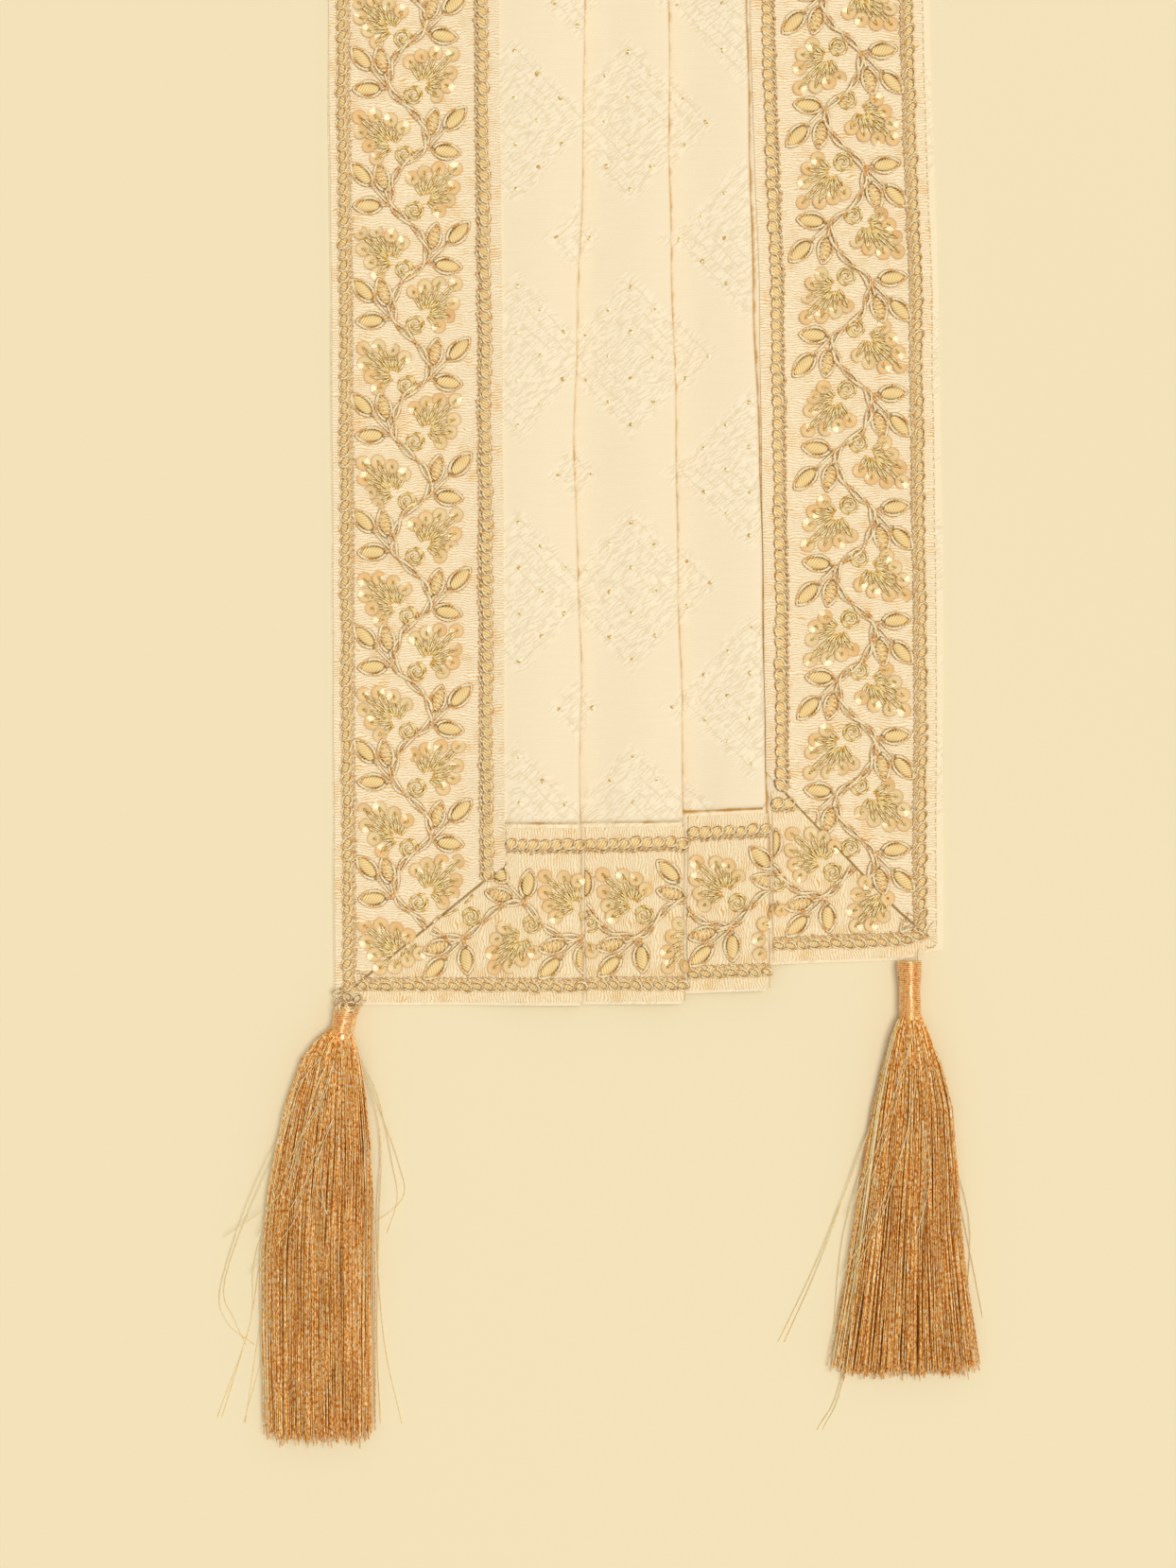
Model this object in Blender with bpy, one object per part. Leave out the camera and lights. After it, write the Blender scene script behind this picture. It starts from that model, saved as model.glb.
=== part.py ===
"""Dupatta stole, folded lengthwise into three knife pleats and laid flat.

The stole lies along Y with its near hem towards -Y and its right side out. Each
stretch of cloth is a wall whose cross section runs from its left side to its
right side. The first three stretches end in a rounded fold that lies over the
stretch beside it, and the layers under the pleats are one stepped solid. Lace
walls lie on the cloth along both long sides and both hems, with their braids
raised, and a tassel hangs from each of the four corners.

All sizes are in metres. Sections are worked out in hem coordinates, with x from
the middle of the photographed hem and v from a hem's own edge, and a mesh is
moved to the part's origin, the bottom centre of its box, when it is made.
"""

import math
import random

import bmesh
import bpy
from mathutils import Vector

MM = 0.001

# Overall sizes
LENGTH = 2200 * MM
CENTRE_X = -5 * MM
CENTRE_Y = LENGTH / 2
GAP = 0.3 * MM

# Cloth thicknesses and the levels of a pleat
GROUND_WALL = 1.2 * MM
LACE_WALL = 1.1 * MM
BRAID_RISE = 0.9 * MM
SHEET_TOP = 1.0 * MM
UNDERLAP_TOP = SHEET_TOP + GAP + GROUND_WALL
NOSE_RADIUS = GROUND_WALL
PLEAT_TOP = UNDERLAP_TOP + GAP + 2 * NOSE_RADIUS
HIDDEN_TOP = PLEAT_TOP - GROUND_WALL - GAP

# Places along a section, measured from the fold that they belong to
UNDERLAP = 3.5 * MM
FOLD_RETURN = 4.4 * MM
FIRST_RISE = (-24 * MM, -14 * MM)
PLEAT_RISE = (0.5 * MM, 9.5 * MM)
LAST_FALL = (1 * MM, 12 * MM)
RAMP_STEPS = 3
NOSE_ANGLES = (54, 18, -18, -54, -90)
LACE_NOSE_ANGLES = (60, 30, 0, -20)

# The folded stole's lines along its length
# distance from the near hem, left edge, fold 1, fold 2, fold 3, right edge (mm)
LINE_ROWS = (
    (0, -99.7, -18.1, 15.9, 43.8, 101.6),
    (106, -100.0, -18.1, 15.0, 42.5, 101.6),
    (182, -100.6, -20.0, 13.4, 40.6, 100.9),
    (237, -100.6, -19.0, 11.9, 39.0, 100.0),
    (292, -101.6, -16.9, 11.3, 37.0, 98.0),
    (345, -101.9, -16.3, 10.6, 36.4, 96.9),
    (500, -102.0, -16.8, 10.9, 37.0, 97.4),
    (750, -101.0, -18.4, 12.6, 39.5, 99.4),
    (1000, -100.2, -17.6, 13.9, 41.4, 100.6),
    (1300, -100.8, -16.7, 12.4, 39.8, 99.8),
    (1600, -101.4, -18.2, 11.8, 38.6, 98.9),
    (1900, -100.7, -19.0, 13.2, 40.7, 100.3),
    (2080, -100.1, -18.3, 15.0, 42.7, 101.3),
    (2200, -99.8, -18.0, 15.8, 43.6, 101.6),
)

# How far each stretch's hem is drawn back, at its left, at three quarters and at
# its right (mm)
HEM_RISE = {
    1: (0.0, 0.0, 0.0),
    2: (0.2, 0.5, 0.6),
    3: (3.8, 4.7, 5.0),
    4: (13.3, 14.8, 18.5),
}
RISE_KNEE = 0.75
RISE_KEEPS_TO = 75 * MM
RISE_ENDS = 230 * MM

# Lace band, measured inwards from the cloth's edge
BRAID = 5.2 * MM
FIELD = 40.8 * MM
INNER_MARGIN = 3.2 * MM
BRAID_SHOULDER = 0.9 * MM
# side, lace edge in from the cloth's edge, outer braid in from the cloth's edge (mm)
LACE_SETS = {
    "left": (0.6, 2.4),
    "right": (1.9, 4.7),
    "hem": (1.0, 4.0),
}
LACE_SEAT = GAP + 0.05 * MM
LACE_TURN = 1.75 * MM
FOLDED_BRAID_SHARE = 0.3
RIGHT_HEM_SHORTER = 1.2 * MM
LEAST_STEP = 0.1 * MM
MITRE_GAP = 0.2 * MM

# Mitres: outer corner and inner corner as x and distance from the hem (mm)
LEFT_MITRE = ((-98.8, 1.0), (-42.6, 46.3))
RIGHT_MITRE = ((99.6, 2.0), (44.6, 61.4))

# The cloth's swell just above the hem lace: distance from the hem, rise (mm)
SWELL_ROWS = ((61.5, 0.0), (63.5, 2.0), (70, 1.7), (84, 0.8), (104, 0.0))

# Layers under the pleats, stepped at the hems: distance from the hem, highest
# level (mm), and how far each pleat's layers are drawn back from the hem
LAYER_ROWS = ((0.0, 1.0), (1.3, 1.0), (1.4, 2.3), (2.6, 2.3), (2.7, 3.7))
LAYER_SET_BACK = {1: 1.4, 2: 2.2, 3: 6.6, 4: 15.4}
# The layers' rounded left side, from where the first stretch starts to rise, and
# right side, from fold 3: distance, level (mm)
LAYER_LEFT_ROWS = ((5.5, 0.0), (5.7, 1.4), (7.6, 2.8), (10.2, HIDDEN_TOP / MM))
LAYER_RIGHT_ROWS = ((1.0, SHEET_TOP / MM), (3.0, 0.5), (3.3, 0.0))
# The drop beside a fold's return: distances from the return (mm)
LAYER_DROP = (-1.4, -0.5)

# Tassels
NECK_LEVEL = 4.5 * MM
NECK_SHOULDER = 1.0 * MM
NECK_CROWN = 0.8
LOCK_COLUMNS = 12
LOCK_ROWS = 4
LOCK_FILLS = (0.72, 0.80, 0.80, 0.50)
TIP_SPREAD = 4 * MM
# x at the hem, hem draw-back, neck length, neck lean, neck radius at the hem and
# at its end (mm)
TASSEL_ROWS = {
    "left": (-94.8, 0.0, 8.9, -2.4, 4.2, 3.8),
    "right": (90.2, 14.9, 18.4, 0.3, 4.1, 3.5),
}
# distance past the neck, sideways shift, half width, middle level, height above it,
# depth below it (mm)
SKIRT_ROWS = {
    "left": (
        (8.4, -3.1, 9.7, 4.6, 4.3, 3.6),
        (37.2, -5.8, 15.8, 3.6, 5.6, 2.9),
        (72.0, -7.8, 18.2, 3.3, 5.2, 2.7),
        (133.0, -7.4, 17.8, 2.8, 4.0, 2.2),
    ),
    "right": (
        (6.9, 0.3, 6.9, 4.6, 4.2, 3.6),
        (30.0, 1.0, 13.0, 3.6, 5.4, 2.9),
        (70.0, -0.6, 17.4, 3.3, 5.2, 2.7),
        (117.0, -1.7, 24.0, 2.8, 3.8, 2.2),
    ),
}

# Colours of the pieces: red, green, blue, roughness, metallic
FINISHES = {
    "ivory_jacquard": (0.90, 0.78, 0.56, 0.62, 0.0),
    "lace_net": (0.80, 0.66, 0.43, 0.68, 0.0),
    "tassel_thread": (0.57, 0.30, 0.12, 0.45, 0.15),
}


def ease(t):
    return t * t * (3 - 2 * t)


def interpolate(rows, at, column):
    """Straight-line value of one column of a table at a place in its first column."""
    for low, high in zip(rows, rows[1:]):
        if at <= high[0]:
            share = max(0.0, (at - low[0]) / (high[0] - low[0]))
            return low[column] + (high[column] - low[column]) * share
    return rows[-1][column]


def lines_at(v):
    """Left edge, folds 1 to 3 and right edge at a distance along the stole."""
    return [interpolate(LINE_ROWS, v / MM, column) * MM for column in range(1, 6)]


def from_hem(v):
    """Distance to the nearer hem."""
    return min(v, LENGTH - v)


def rise_share(v):
    """How much of a hem's draw-back is left at a distance along the stole."""
    reach = (from_hem(v) - RISE_KEEPS_TO) / (RISE_ENDS - RISE_KEEPS_TO)
    return 1 - ease(min(1.0, max(0.0, reach)))


def hem_rise(stretch, x, v):
    """How far a point of a stretch is drawn back along the stole near its hem."""
    lines = lines_at(v)
    left, right = lines[stretch - 1], lines[stretch]
    share = min(1.0, max(0.0, (x - left) / (right - left)))
    at_left, at_knee, at_right = HEM_RISE[stretch]
    if share < RISE_KNEE:
        rise = at_left + (at_knee - at_left) * share / RISE_KNEE
    else:
        rise = at_knee + (at_right - at_knee) * (share - RISE_KNEE) / (1 - RISE_KNEE)
    return rise * MM * rise_share(v)


def drawn_back(v, rise):
    """The place along the stole of a point whose hem is drawn back."""
    return v + rise if v < LENGTH / 2 else v - rise


def swell(v):
    """Rise of the cloth just above the hem lace."""
    return interpolate(SWELL_ROWS, from_hem(v) / MM, 1) * MM


def ramp(fold, span, low, high):
    """Points (x, z) of a soft rise or fall over a span measured from a fold."""
    start, end = span
    points = []
    for step in range(RAMP_STEPS + 1):
        share = step / RAMP_STEPS
        points.append((fold + start + (end - start) * share, low + (high - low) * ease(share)))
    return points


def level(x, points):
    """Height of a top line at x."""
    return interpolate(points, x, 1)


def top_line(stretch, v):
    """Points (x, z) along the top of a stretch, without the fold at its right."""
    lines = lines_at(v)
    left, right = lines[stretch - 1], lines[stretch]
    if stretch == 1:
        rise = ramp(right, FIRST_RISE, GROUND_WALL, PLEAT_TOP)
        return [(left, GROUND_WALL)] + rise + [(right - NOSE_RADIUS, PLEAT_TOP)]
    if stretch == 4:
        knee = left + (right - left) * RISE_KNEE
        fall = ramp(left, LAST_FALL, UNDERLAP_TOP, GROUND_WALL)
        flat = [(knee, GROUND_WALL), (right, GROUND_WALL)]
        return [(left - UNDERLAP, UNDERLAP_TOP)] + fall + flat
    rise = ramp(left, PLEAT_RISE, UNDERLAP_TOP, PLEAT_TOP)
    return [(left - UNDERLAP, UNDERLAP_TOP)] + rise + [(right - NOSE_RADIUS, PLEAT_TOP)]


def nose(fold, radius, angles):
    """Points (x, z) round a fold, on a circle about the fold's middle."""
    middle_x, middle_z = fold - NOSE_RADIUS, PLEAT_TOP - NOSE_RADIUS
    points = []
    for degrees in angles:
        turn = math.radians(degrees)
        points.append((middle_x + radius * math.cos(turn), middle_z + radius * math.sin(turn)))
    return points


def swollen(stretch, points, v):
    """Points lifted by the swell above the hem, on the cloth that lies on pleats."""
    if stretch == 4:
        return points
    lifted = []
    for x, z in points:
        share = (z - UNDERLAP_TOP + GROUND_WALL) / (PLEAT_TOP - UNDERLAP_TOP)
        lifted.append((x, z + swell(v) * min(1.0, max(0.0, share))))
    return lifted


def make_material(name):
    red, green, blue, roughness, metallic = FINISHES[name]
    material = bpy.data.materials.new(name)
    material.use_nodes = True
    shader = material.node_tree.nodes["Principled BSDF"]
    shader.inputs["Base Color"].default_value = (red, green, blue, 1)
    shader.inputs["Roughness"].default_value = roughness
    shader.inputs["Metallic"].default_value = metallic
    material.diffuse_color = (red, green, blue, 1)
    return material


def finish_mesh(bm, name, material):
    """Turn the faces out and put the mesh in the scene as one object."""
    if bm.calc_volume(signed=True) < 0:
        bmesh.ops.reverse_faces(bm, faces=bm.faces)
    mesh = bpy.data.meshes.new(name)
    bm.to_mesh(mesh)
    bm.free()
    mesh.materials.append(material)
    mesh.shade_smooth()
    mesh.set_sharp_from_angle(angle=math.radians(35))
    piece = bpy.data.objects.new(name, mesh)
    bpy.context.scene.collection.objects.link(piece)
    return piece


def loft(name, rings, material):
    """A closed solid through rings of points (x, y, z) in hem coordinates."""
    bm = bmesh.new()
    rows = []
    for ring in rings:
        rows.append([bm.verts.new((x - CENTRE_X, y - CENTRE_Y, z)) for x, y, z in ring])
    count = len(rows[0])
    for near, far in zip(rows, rows[1:]):
        for k in range(count):
            following = (k + 1) % count
            bm.faces.new((near[k], near[following], far[following], far[k]))
    bm.faces.new(reversed(rows[0]))
    bm.faces.new(rows[-1])
    return finish_mesh(bm, name, material)


def cloth_stations():
    """Distances along the stole at which the cloth has a section."""
    near = [0.0] + [row[0] * MM for row in SWELL_ROWS]
    middle = [row[0] * MM for row in LINE_ROWS if 110 <= row[0] <= 2080]
    return near + middle + [LENGTH - v for v in reversed(near)]


def ground_section(stretch, v):
    """The closed section of one stretch of cloth as points (x, z)."""
    top = top_line(stretch, v)
    under = [(x, z - GROUND_WALL) for x, z in top]
    if stretch < 4:
        fold = lines_at(v)[stretch]
        inner_z = PLEAT_TOP - GROUND_WALL
        top += nose(fold, NOSE_RADIUS, NOSE_ANGLES)
        under.pop()
        under += [(fold - FOLD_RETURN, inner_z), (fold - FOLD_RETURN, inner_z - GROUND_WALL)]
    section = top + under[::-1]
    return swollen(stretch, section, v)


def make_ground(stretch, name, material):
    rings = []
    for v in cloth_stations():
        ring = []
        for x, z in ground_section(stretch, v):
            ring.append((x, drawn_back(v, hem_rise(stretch, x, v)), z))
        rings.append(ring)
    return loft(name, rings, material)


def layers_section(v):
    """Top of the layers under the pleats as points (x, z, pleat)."""
    folds = lines_at(v)[1:4]
    first = folds[0] + FIRST_RISE[0]
    points = [(first + across * MM, z * MM, 1) for across, z in LAYER_LEFT_ROWS]
    for pleat, fold in enumerate(folds, start=1):
        for across, z in zip(LAYER_DROP, (HIDDEN_TOP, SHEET_TOP)):
            points.append((fold - FOLD_RETURN + across * MM, z, pleat))
        if pleat < 3:
            for x, z in ramp(fold, PLEAT_RISE, SHEET_TOP, HIDDEN_TOP):
                points.append((x, z, pleat + 1))
    return points + [(folds[2] + across * MM, z * MM, 4) for across, z in LAYER_RIGHT_ROWS]


def layer_stations():
    """Distances from the near hem and the highest level of the layers there."""
    near = [(v * MM, top * MM) for v, top in LAYER_ROWS]
    middle = [(v, PLEAT_TOP) for v in cloth_stations() if 50 * MM < v < LENGTH - 50 * MM]
    return near + middle + [(LENGTH - v, top) for v, top in reversed(near)]


def make_layers(name, material):
    """The layers under the pleats: one solid, stepped at both hems."""
    rings = []
    for v, highest in layer_stations():
        ring = []
        for x, z, pleat in layers_section(v):
            back = LAYER_SET_BACK[pleat] * MM * rise_share(v)
            ring.append((x, drawn_back(v, back), min(z, highest)))
        rings.append(ring)
    return loft(name, rings, material)


def lace_columns(side):
    """Distances in from the cloth's edge across a lace band, and the rise of each."""
    edge, braid = (value * MM for value in LACE_SETS[side])
    inner = braid + BRAID + FIELD
    columns = [(edge, 0.0)]
    for start in (braid, inner):
        columns.append((start, 0.0))
        columns.append((start + BRAID_SHOULDER, BRAID_RISE))
        columns.append((start + BRAID - BRAID_SHOULDER, BRAID_RISE))
        columns.append((start + BRAID, 0.0))
    columns.append((inner + BRAID + INNER_MARGIN, 0.0))
    return columns


def mitre_v(mitre, x):
    """Distance from the hem of a mitre line at x."""
    (outer_x, outer_v), (inner_x, inner_v) = mitre
    share = (x / MM - outer_x) / (inner_x - outer_x)
    return (outer_v + (inner_v - outer_v) * share) * MM


def mitre_x(mitre, v):
    """The x of a mitre line at a distance from the hem."""
    (outer_x, outer_v), (inner_x, inner_v) = mitre
    share = (v / MM - outer_v) / (inner_v - outer_v)
    return (outer_x + (inner_x - outer_x) * min(1.0, max(0.0, share))) * MM


def border_section(side, v):
    """Closed section (x, z) of a lace border that runs along the stole."""
    lines = lines_at(v)
    stretch, edge, inwards = (1, lines[0], 1) if side == "left" else (4, lines[4], -1)
    cloth = top_line(stretch, v)
    top, under = [], []
    for distance, rise in lace_columns(side):
        x = edge + inwards * distance
        if side == "right":
            x = max(x, lines[3] + GAP + LEAST_STEP)
        seat = level(x, cloth) + LACE_SEAT
        top.append((x, seat + LACE_WALL + rise))
        if rise == 0.0:
            under.append((x, seat))
    return top + under[::-1]


def make_border(side, name, material):
    """Lace border down one long side, cut along its mitres at both hems."""
    stretch, mitre = (1, LEFT_MITRE) if side == "left" else (4, RIGHT_MITRE)
    flat = [v for v in cloth_stations() if 80 * MM < v < LENGTH - 80 * MM]
    rings = []
    for v in [0.0] + flat + [LENGTH]:
        ring = []
        for x, z in border_section(side, v):
            along = v
            if v == 0.0:
                along = mitre_v(mitre, x) + MITRE_GAP
            if v == LENGTH:
                along = LENGTH - mitre_v(mitre, x) - MITRE_GAP
            ring.append((x, drawn_back(along, hem_rise(stretch, x, along)), z))
        rings.append(ring)
    return loft(name, rings, material)


def hem_section(stretch, v, from_edge, rise):
    """Closed section (x, z) of the lace hem on one stretch."""
    lines = lines_at(v)
    left, right = lines[stretch - 1], lines[stretch]
    cloth = top_line(stretch, v)
    start = left + LACE_TURN
    end = right - NOSE_RADIUS
    if stretch == 1:
        start = mitre_x(LEFT_MITRE, from_edge) + MITRE_GAP
    if stretch == 4:
        end = mitre_x(RIGHT_MITRE, from_edge) - MITRE_GAP
    span = {1: FIRST_RISE, 2: PLEAT_RISE, 3: PLEAT_RISE, 4: LAST_FALL}[stretch]
    fold = right if stretch == 1 else left
    bends = [x for x, z in ramp(fold, span, 0.0, 0.0)]
    places = [start]
    for left_over, x in zip(range(len(bends), 0, -1), bends):
        places.append(min(max(x, places[-1] + LEAST_STEP), end - left_over * LEAST_STEP))
    places.append(end)
    under = [(x, level(x, cloth) + LACE_SEAT) for x in places]
    top = [(x, z + LACE_WALL + rise) for x, z in under]
    if stretch < 4:
        inner = NOSE_RADIUS + LACE_SEAT
        outer = inner + LACE_WALL + rise * FOLDED_BRAID_SHARE
        under += nose(right, inner, LACE_NOSE_ANGLES)
        top += nose(right, outer, LACE_NOSE_ANGLES)
    return top + under[::-1]


def make_hem(stretch, end, name, material):
    """Lace hem on one stretch, with its two braids raised."""
    columns = lace_columns("hem")
    if stretch == 1:
        columns = sorted(columns + [(LEFT_MITRE[1][1] * MM, 0.0)])
    if stretch == 4:
        columns[-1] = (columns[-1][0] - RIGHT_HEM_SHORTER, 0.0)
    rings = []
    for from_edge, rise in columns:
        v = from_edge if end == "near" else LENGTH - from_edge
        ring = []
        for x, z in hem_section(stretch, v, from_edge, rise):
            ring.append((x, drawn_back(v, hem_rise(stretch, x, v)), z))
        rings.append(ring)
    return loft(name, rings, material)


def disc_point(s, t):
    """A point of the square from -1 to 1, moved onto the unit disc."""
    return s * math.sqrt(1 - t * t / 2), t * math.sqrt(1 - s * s / 2)


def make_tassel(side, end, name, material, seed):
    """Wound neck that flares into a fused root, with its locks standing apart."""
    at_x, rise, neck, lean, top_radius, end_radius = (value * MM for value in TASSEL_ROWS[side])
    skirt = [tuple(value * MM for value in row) for row in SKIRT_ROWS[side]]
    away = -1 if end == "near" else 1
    hem = rise if end == "near" else LENGTH - rise
    start_y = hem + away * GAP
    chance = random.Random(seed)

    def place(along, across, height, middle_x):
        x = at_x + middle_x + across - CENTRE_X
        return Vector((x, start_y + away * along - CENTRE_Y, height))

    def skirt_point(row, s, t):
        along, shift, half, middle, above, below = row
        across, up = disc_point(s, t)
        height = middle + up * (above if up > 0 else below)
        return place(neck + along, across * half, height, lean + shift)

    bm = bmesh.new()
    spots = [(i, j) for j in range(LOCK_ROWS + 1) for i in range(LOCK_COLUMNS + 1)]
    unit = {(i, j): (2 * i / LOCK_COLUMNS - 1, 2 * j / LOCK_ROWS - 1) for i, j in spots}
    cap = {spot: bm.verts.new(skirt_point(skirt[0], *unit[spot])) for spot in spots}
    rim = [(i, 0) for i in range(LOCK_COLUMNS)] + [(LOCK_COLUMNS, j) for j in range(LOCK_ROWS)]
    rim += [(i, LOCK_ROWS) for i in range(LOCK_COLUMNS, 0, -1)]
    rim += [(0, j) for j in range(LOCK_ROWS, 0, -1)]
    previous = [cap[spot] for spot in rim]
    neck_rings = (
        (neck, end_radius),
        (NECK_SHOULDER, top_radius),
        (0.0, top_radius * NECK_CROWN),
    )
    for along, radius in neck_rings:
        ring = []
        for spot in rim:
            across, up = disc_point(*unit[spot])
            height = NECK_LEVEL + up * radius
            ring.append(bm.verts.new(place(along, across * radius, height, lean * along / neck)))
        for k in range(len(rim)):
            following = (k + 1) % len(rim)
            bm.faces.new((previous[following], previous[k], ring[k], ring[following]))
        previous = ring
    bm.faces.new(reversed(previous))
    cells = []
    for i in range(LOCK_COLUMNS):
        for j in range(LOCK_ROWS):
            cells.append(((i, j), (i + 1, j), (i + 1, j + 1), (i, j + 1)))
    for corners in cells:
        middle_s = sum(unit[spot][0] for spot in corners) / 4
        middle_t = sum(unit[spot][1] for spot in corners) / 4
        loops = [[cap[spot] for spot in corners]]
        for row, fill in zip(skirt, LOCK_FILLS):
            if row is skirt[-1]:
                row = (row[0] + chance.uniform(-TIP_SPREAD, TIP_SPREAD),) + row[1:]
            loop = []
            for spot in corners:
                s = middle_s + (unit[spot][0] - middle_s) * fill
                t = middle_t + (unit[spot][1] - middle_t) * fill
                loop.append(bm.verts.new(skirt_point(row, s, t)))
            loops.append(loop)
        for near, far in zip(loops, loops[1:]):
            for k in range(4):
                following = (k + 1) % 4
                bm.faces.new((near[k], near[following], far[following], far[k]))
        bm.faces.new(loops[-1])
    return finish_mesh(bm, name, material)


def main():
    for old in list(bpy.data.objects):
        bpy.data.objects.remove(old)
    cloth = make_material("ivory_jacquard")
    lace = make_material("lace_net")
    thread = make_material("tassel_thread")
    names = {1: "ground_left", 2: "ground_pleat_2", 3: "ground_pleat_3", 4: "ground_right"}
    for stretch, name in names.items():
        make_ground(stretch, name, cloth)
    make_layers("folded_layers", cloth)
    for side in ("left", "right"):
        make_border(side, "border_" + side, lace)
    for end in ("near", "far"):
        for stretch in names:
            make_hem(stretch, end, f"hem_{end}_{stretch}", lace)
    seed = 11
    for end in ("near", "far"):
        for side in ("left", "right"):
            make_tassel(side, end, f"tassel_{end}_{side}", thread, seed)
            seed += 1


main()
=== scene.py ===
"""Dupatta stole laid flat: the looks of its pleated jacquard, its lace borders with
their embroidery and its thread tassels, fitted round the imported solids.

The stole lies along Y, near hem towards -Y, right side up. Places on the cloth are
worked out in hem coordinates, x from the middle of the near hem and v from the near
hem along the stole, and moved to the frame's origin when a point is made. Places on
the lace are (s, t, h): s along a run of lace, t across it from the middle of its
field, more towards the middle of the stole, and h above the cloth. The lace runs
clockwise round the stole as seen from above.
"""

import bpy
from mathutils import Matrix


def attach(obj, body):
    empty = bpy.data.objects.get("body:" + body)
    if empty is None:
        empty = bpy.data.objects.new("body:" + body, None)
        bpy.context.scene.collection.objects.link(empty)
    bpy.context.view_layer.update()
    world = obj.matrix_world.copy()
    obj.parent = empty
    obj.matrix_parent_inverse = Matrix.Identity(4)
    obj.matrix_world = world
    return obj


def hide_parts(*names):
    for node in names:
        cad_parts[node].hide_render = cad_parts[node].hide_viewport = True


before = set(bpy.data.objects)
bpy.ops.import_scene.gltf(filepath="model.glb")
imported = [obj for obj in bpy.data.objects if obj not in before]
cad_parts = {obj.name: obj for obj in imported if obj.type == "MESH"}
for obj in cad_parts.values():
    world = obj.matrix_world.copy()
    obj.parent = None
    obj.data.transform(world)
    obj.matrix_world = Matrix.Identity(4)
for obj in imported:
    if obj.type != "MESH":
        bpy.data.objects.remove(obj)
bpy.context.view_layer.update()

import math
import random

import bmesh
import bpy
import numpy as np
from mathutils import Matrix, Vector

bl_info = {
    "name": "Dupatta Stole",
    "version": (1, 0, 0),
    "blender": (4, 5, 0),
    "location": "View3D > Sidebar > Stole",
    "description": "Builds a pleated dupatta stole with embroidered lace and tassels",
    "category": "Add Mesh",
}

MM = 0.001
BODY = "root"

# Overall sizes and levels, as in the solids
LENGTH = 2200 * MM
CENTRE_X = -5 * MM
CENTRE_Y = LENGTH / 2
GROUND_TOP = 1.2 * MM
UNDERLAP_TOP = 2.5 * MM
PLEAT_TOP = 5.2 * MM
NOSE_RADIUS = 1.2 * MM

# Where the cloth rises towards a fold or falls from one, beside that fold
FIRST_RISE = (-44 * MM, -8 * MM)
PLEAT_RISE = (0.3 * MM, 26 * MM)
LAST_FALL = (1 * MM, 12 * MM)

# Distance from the near hem, left edge, fold 1, fold 2, fold 3, right edge (mm)
LINE_ROWS = (
    (0, -99.7, -18.1, 15.9, 43.8, 101.6),
    (106, -100.0, -18.1, 15.0, 42.5, 101.6),
    (182, -100.6, -20.0, 13.4, 40.6, 100.9),
    (237, -100.6, -19.0, 11.9, 39.0, 100.0),
    (292, -101.6, -16.9, 11.3, 37.0, 98.0),
    (345, -101.9, -16.3, 10.6, 36.4, 96.9),
    (500, -102.0, -16.8, 10.9, 37.0, 97.4),
    (750, -101.0, -18.4, 12.6, 39.5, 99.4),
    (1000, -100.2, -17.6, 13.9, 41.4, 100.6),
    (1300, -100.8, -16.7, 12.4, 39.8, 99.8),
    (1600, -101.4, -18.2, 11.8, 38.6, 98.9),
    (1900, -100.7, -19.0, 13.2, 40.7, 100.3),
    (2080, -100.1, -18.3, 15.0, 42.7, 101.3),
    (2200, -99.8, -18.0, 15.8, 43.6, 101.6),
)
LINES = np.array(LINE_ROWS) * MM
# How far the edges and folds waver beside those rows
LINE_WAVER = (0.10 * MM, 0.28 * MM, 0.28 * MM, 0.28 * MM, 0.12 * MM)

# Draw-back of each stretch's hem at its left, at three quarters and at its right (mm)
HEM_RISE = {
    1: (0.0, 0.0, 0.0),
    2: (0.2, 0.5, 0.6),
    3: (3.8, 4.7, 5.0),
    4: (13.3, 14.8, 18.5),
}
RISE_KNEES = (0.0, 0.75, 1.0)
RISE_KEEPS_TO = 75 * MM
RISE_ENDS = 230 * MM
DRAW_BACK_ROUNDS = 12

# The cloth's swell just above the hem lace: distance from the hem, rise (mm)
SWELL_ROWS = ((59.8, 0.0), (60.8, 2.3), (68, 1.9), (82, 0.8), (104, 0.0))
# Middle of the painted shade line along the swell's foot, and the rows of cloth made close together
# there (mm)
SWELL_FOOT = 60.0 * MM
SWELL_STATIONS = (58.8, 59.6, 60.1, 60.6, 61.1, 62.2, 64)

# Mitres: outer corner and inner corner as x and distance from the hem (mm)
LEFT_MITRE = ((-98.8, 1.0), (-42.6, 46.3))
RIGHT_MITRE = ((99.6, 2.0), (44.6, 61.4))
MITRE_GAP = 0.2 * MM

# Jacquard panel: its thickness, how far in its long edges curve down, and the width
# that the cut has under each pleat, one way
CLOTH_THICK = 0.6 * MM
EDGE_CURVE = 2.2 * MM
HIDDEN_WIDTHS = (17 * MM, 34 * MM, 28 * MM)
# How far the hidden layer reaches under each pleat here, its two levels, and its
# way out
TURN_REACH = (17 * MM, 24.5 * MM, 19 * MM)
TURN_LEVELS = (1.9 * MM, 0.6 * MM)
UNDERLAP_RUN = (-9 * MM, -3.5 * MM)
# Short creases in all, and where they start, softly
CREASE_COUNT = 190
CREASES_FROM = -45 * MM
CREASES_SOFTEN = 8 * MM
# How dark the painted shade of each fold is, also along the swell's foot, and the golden brown colour
# of that painted shade
FOLD_DEPTHS = (0.95, 1.0, 1.3)
FOLD_SHADE_COLOUR = (0.62, 0.35, 0.07)
# Shares of the ivory in the plain ground, in the ridges' hollows as painted shade and on their crests
# as painted highlight
WEAVE_TONES = ((0.955, 0.928, 0.86), (0.935, 0.885, 0.775), (1.045, 1.04, 1.03))
# How steeply the jacquard's ridges rise (degrees)
STROKE_RISE = 38

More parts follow.
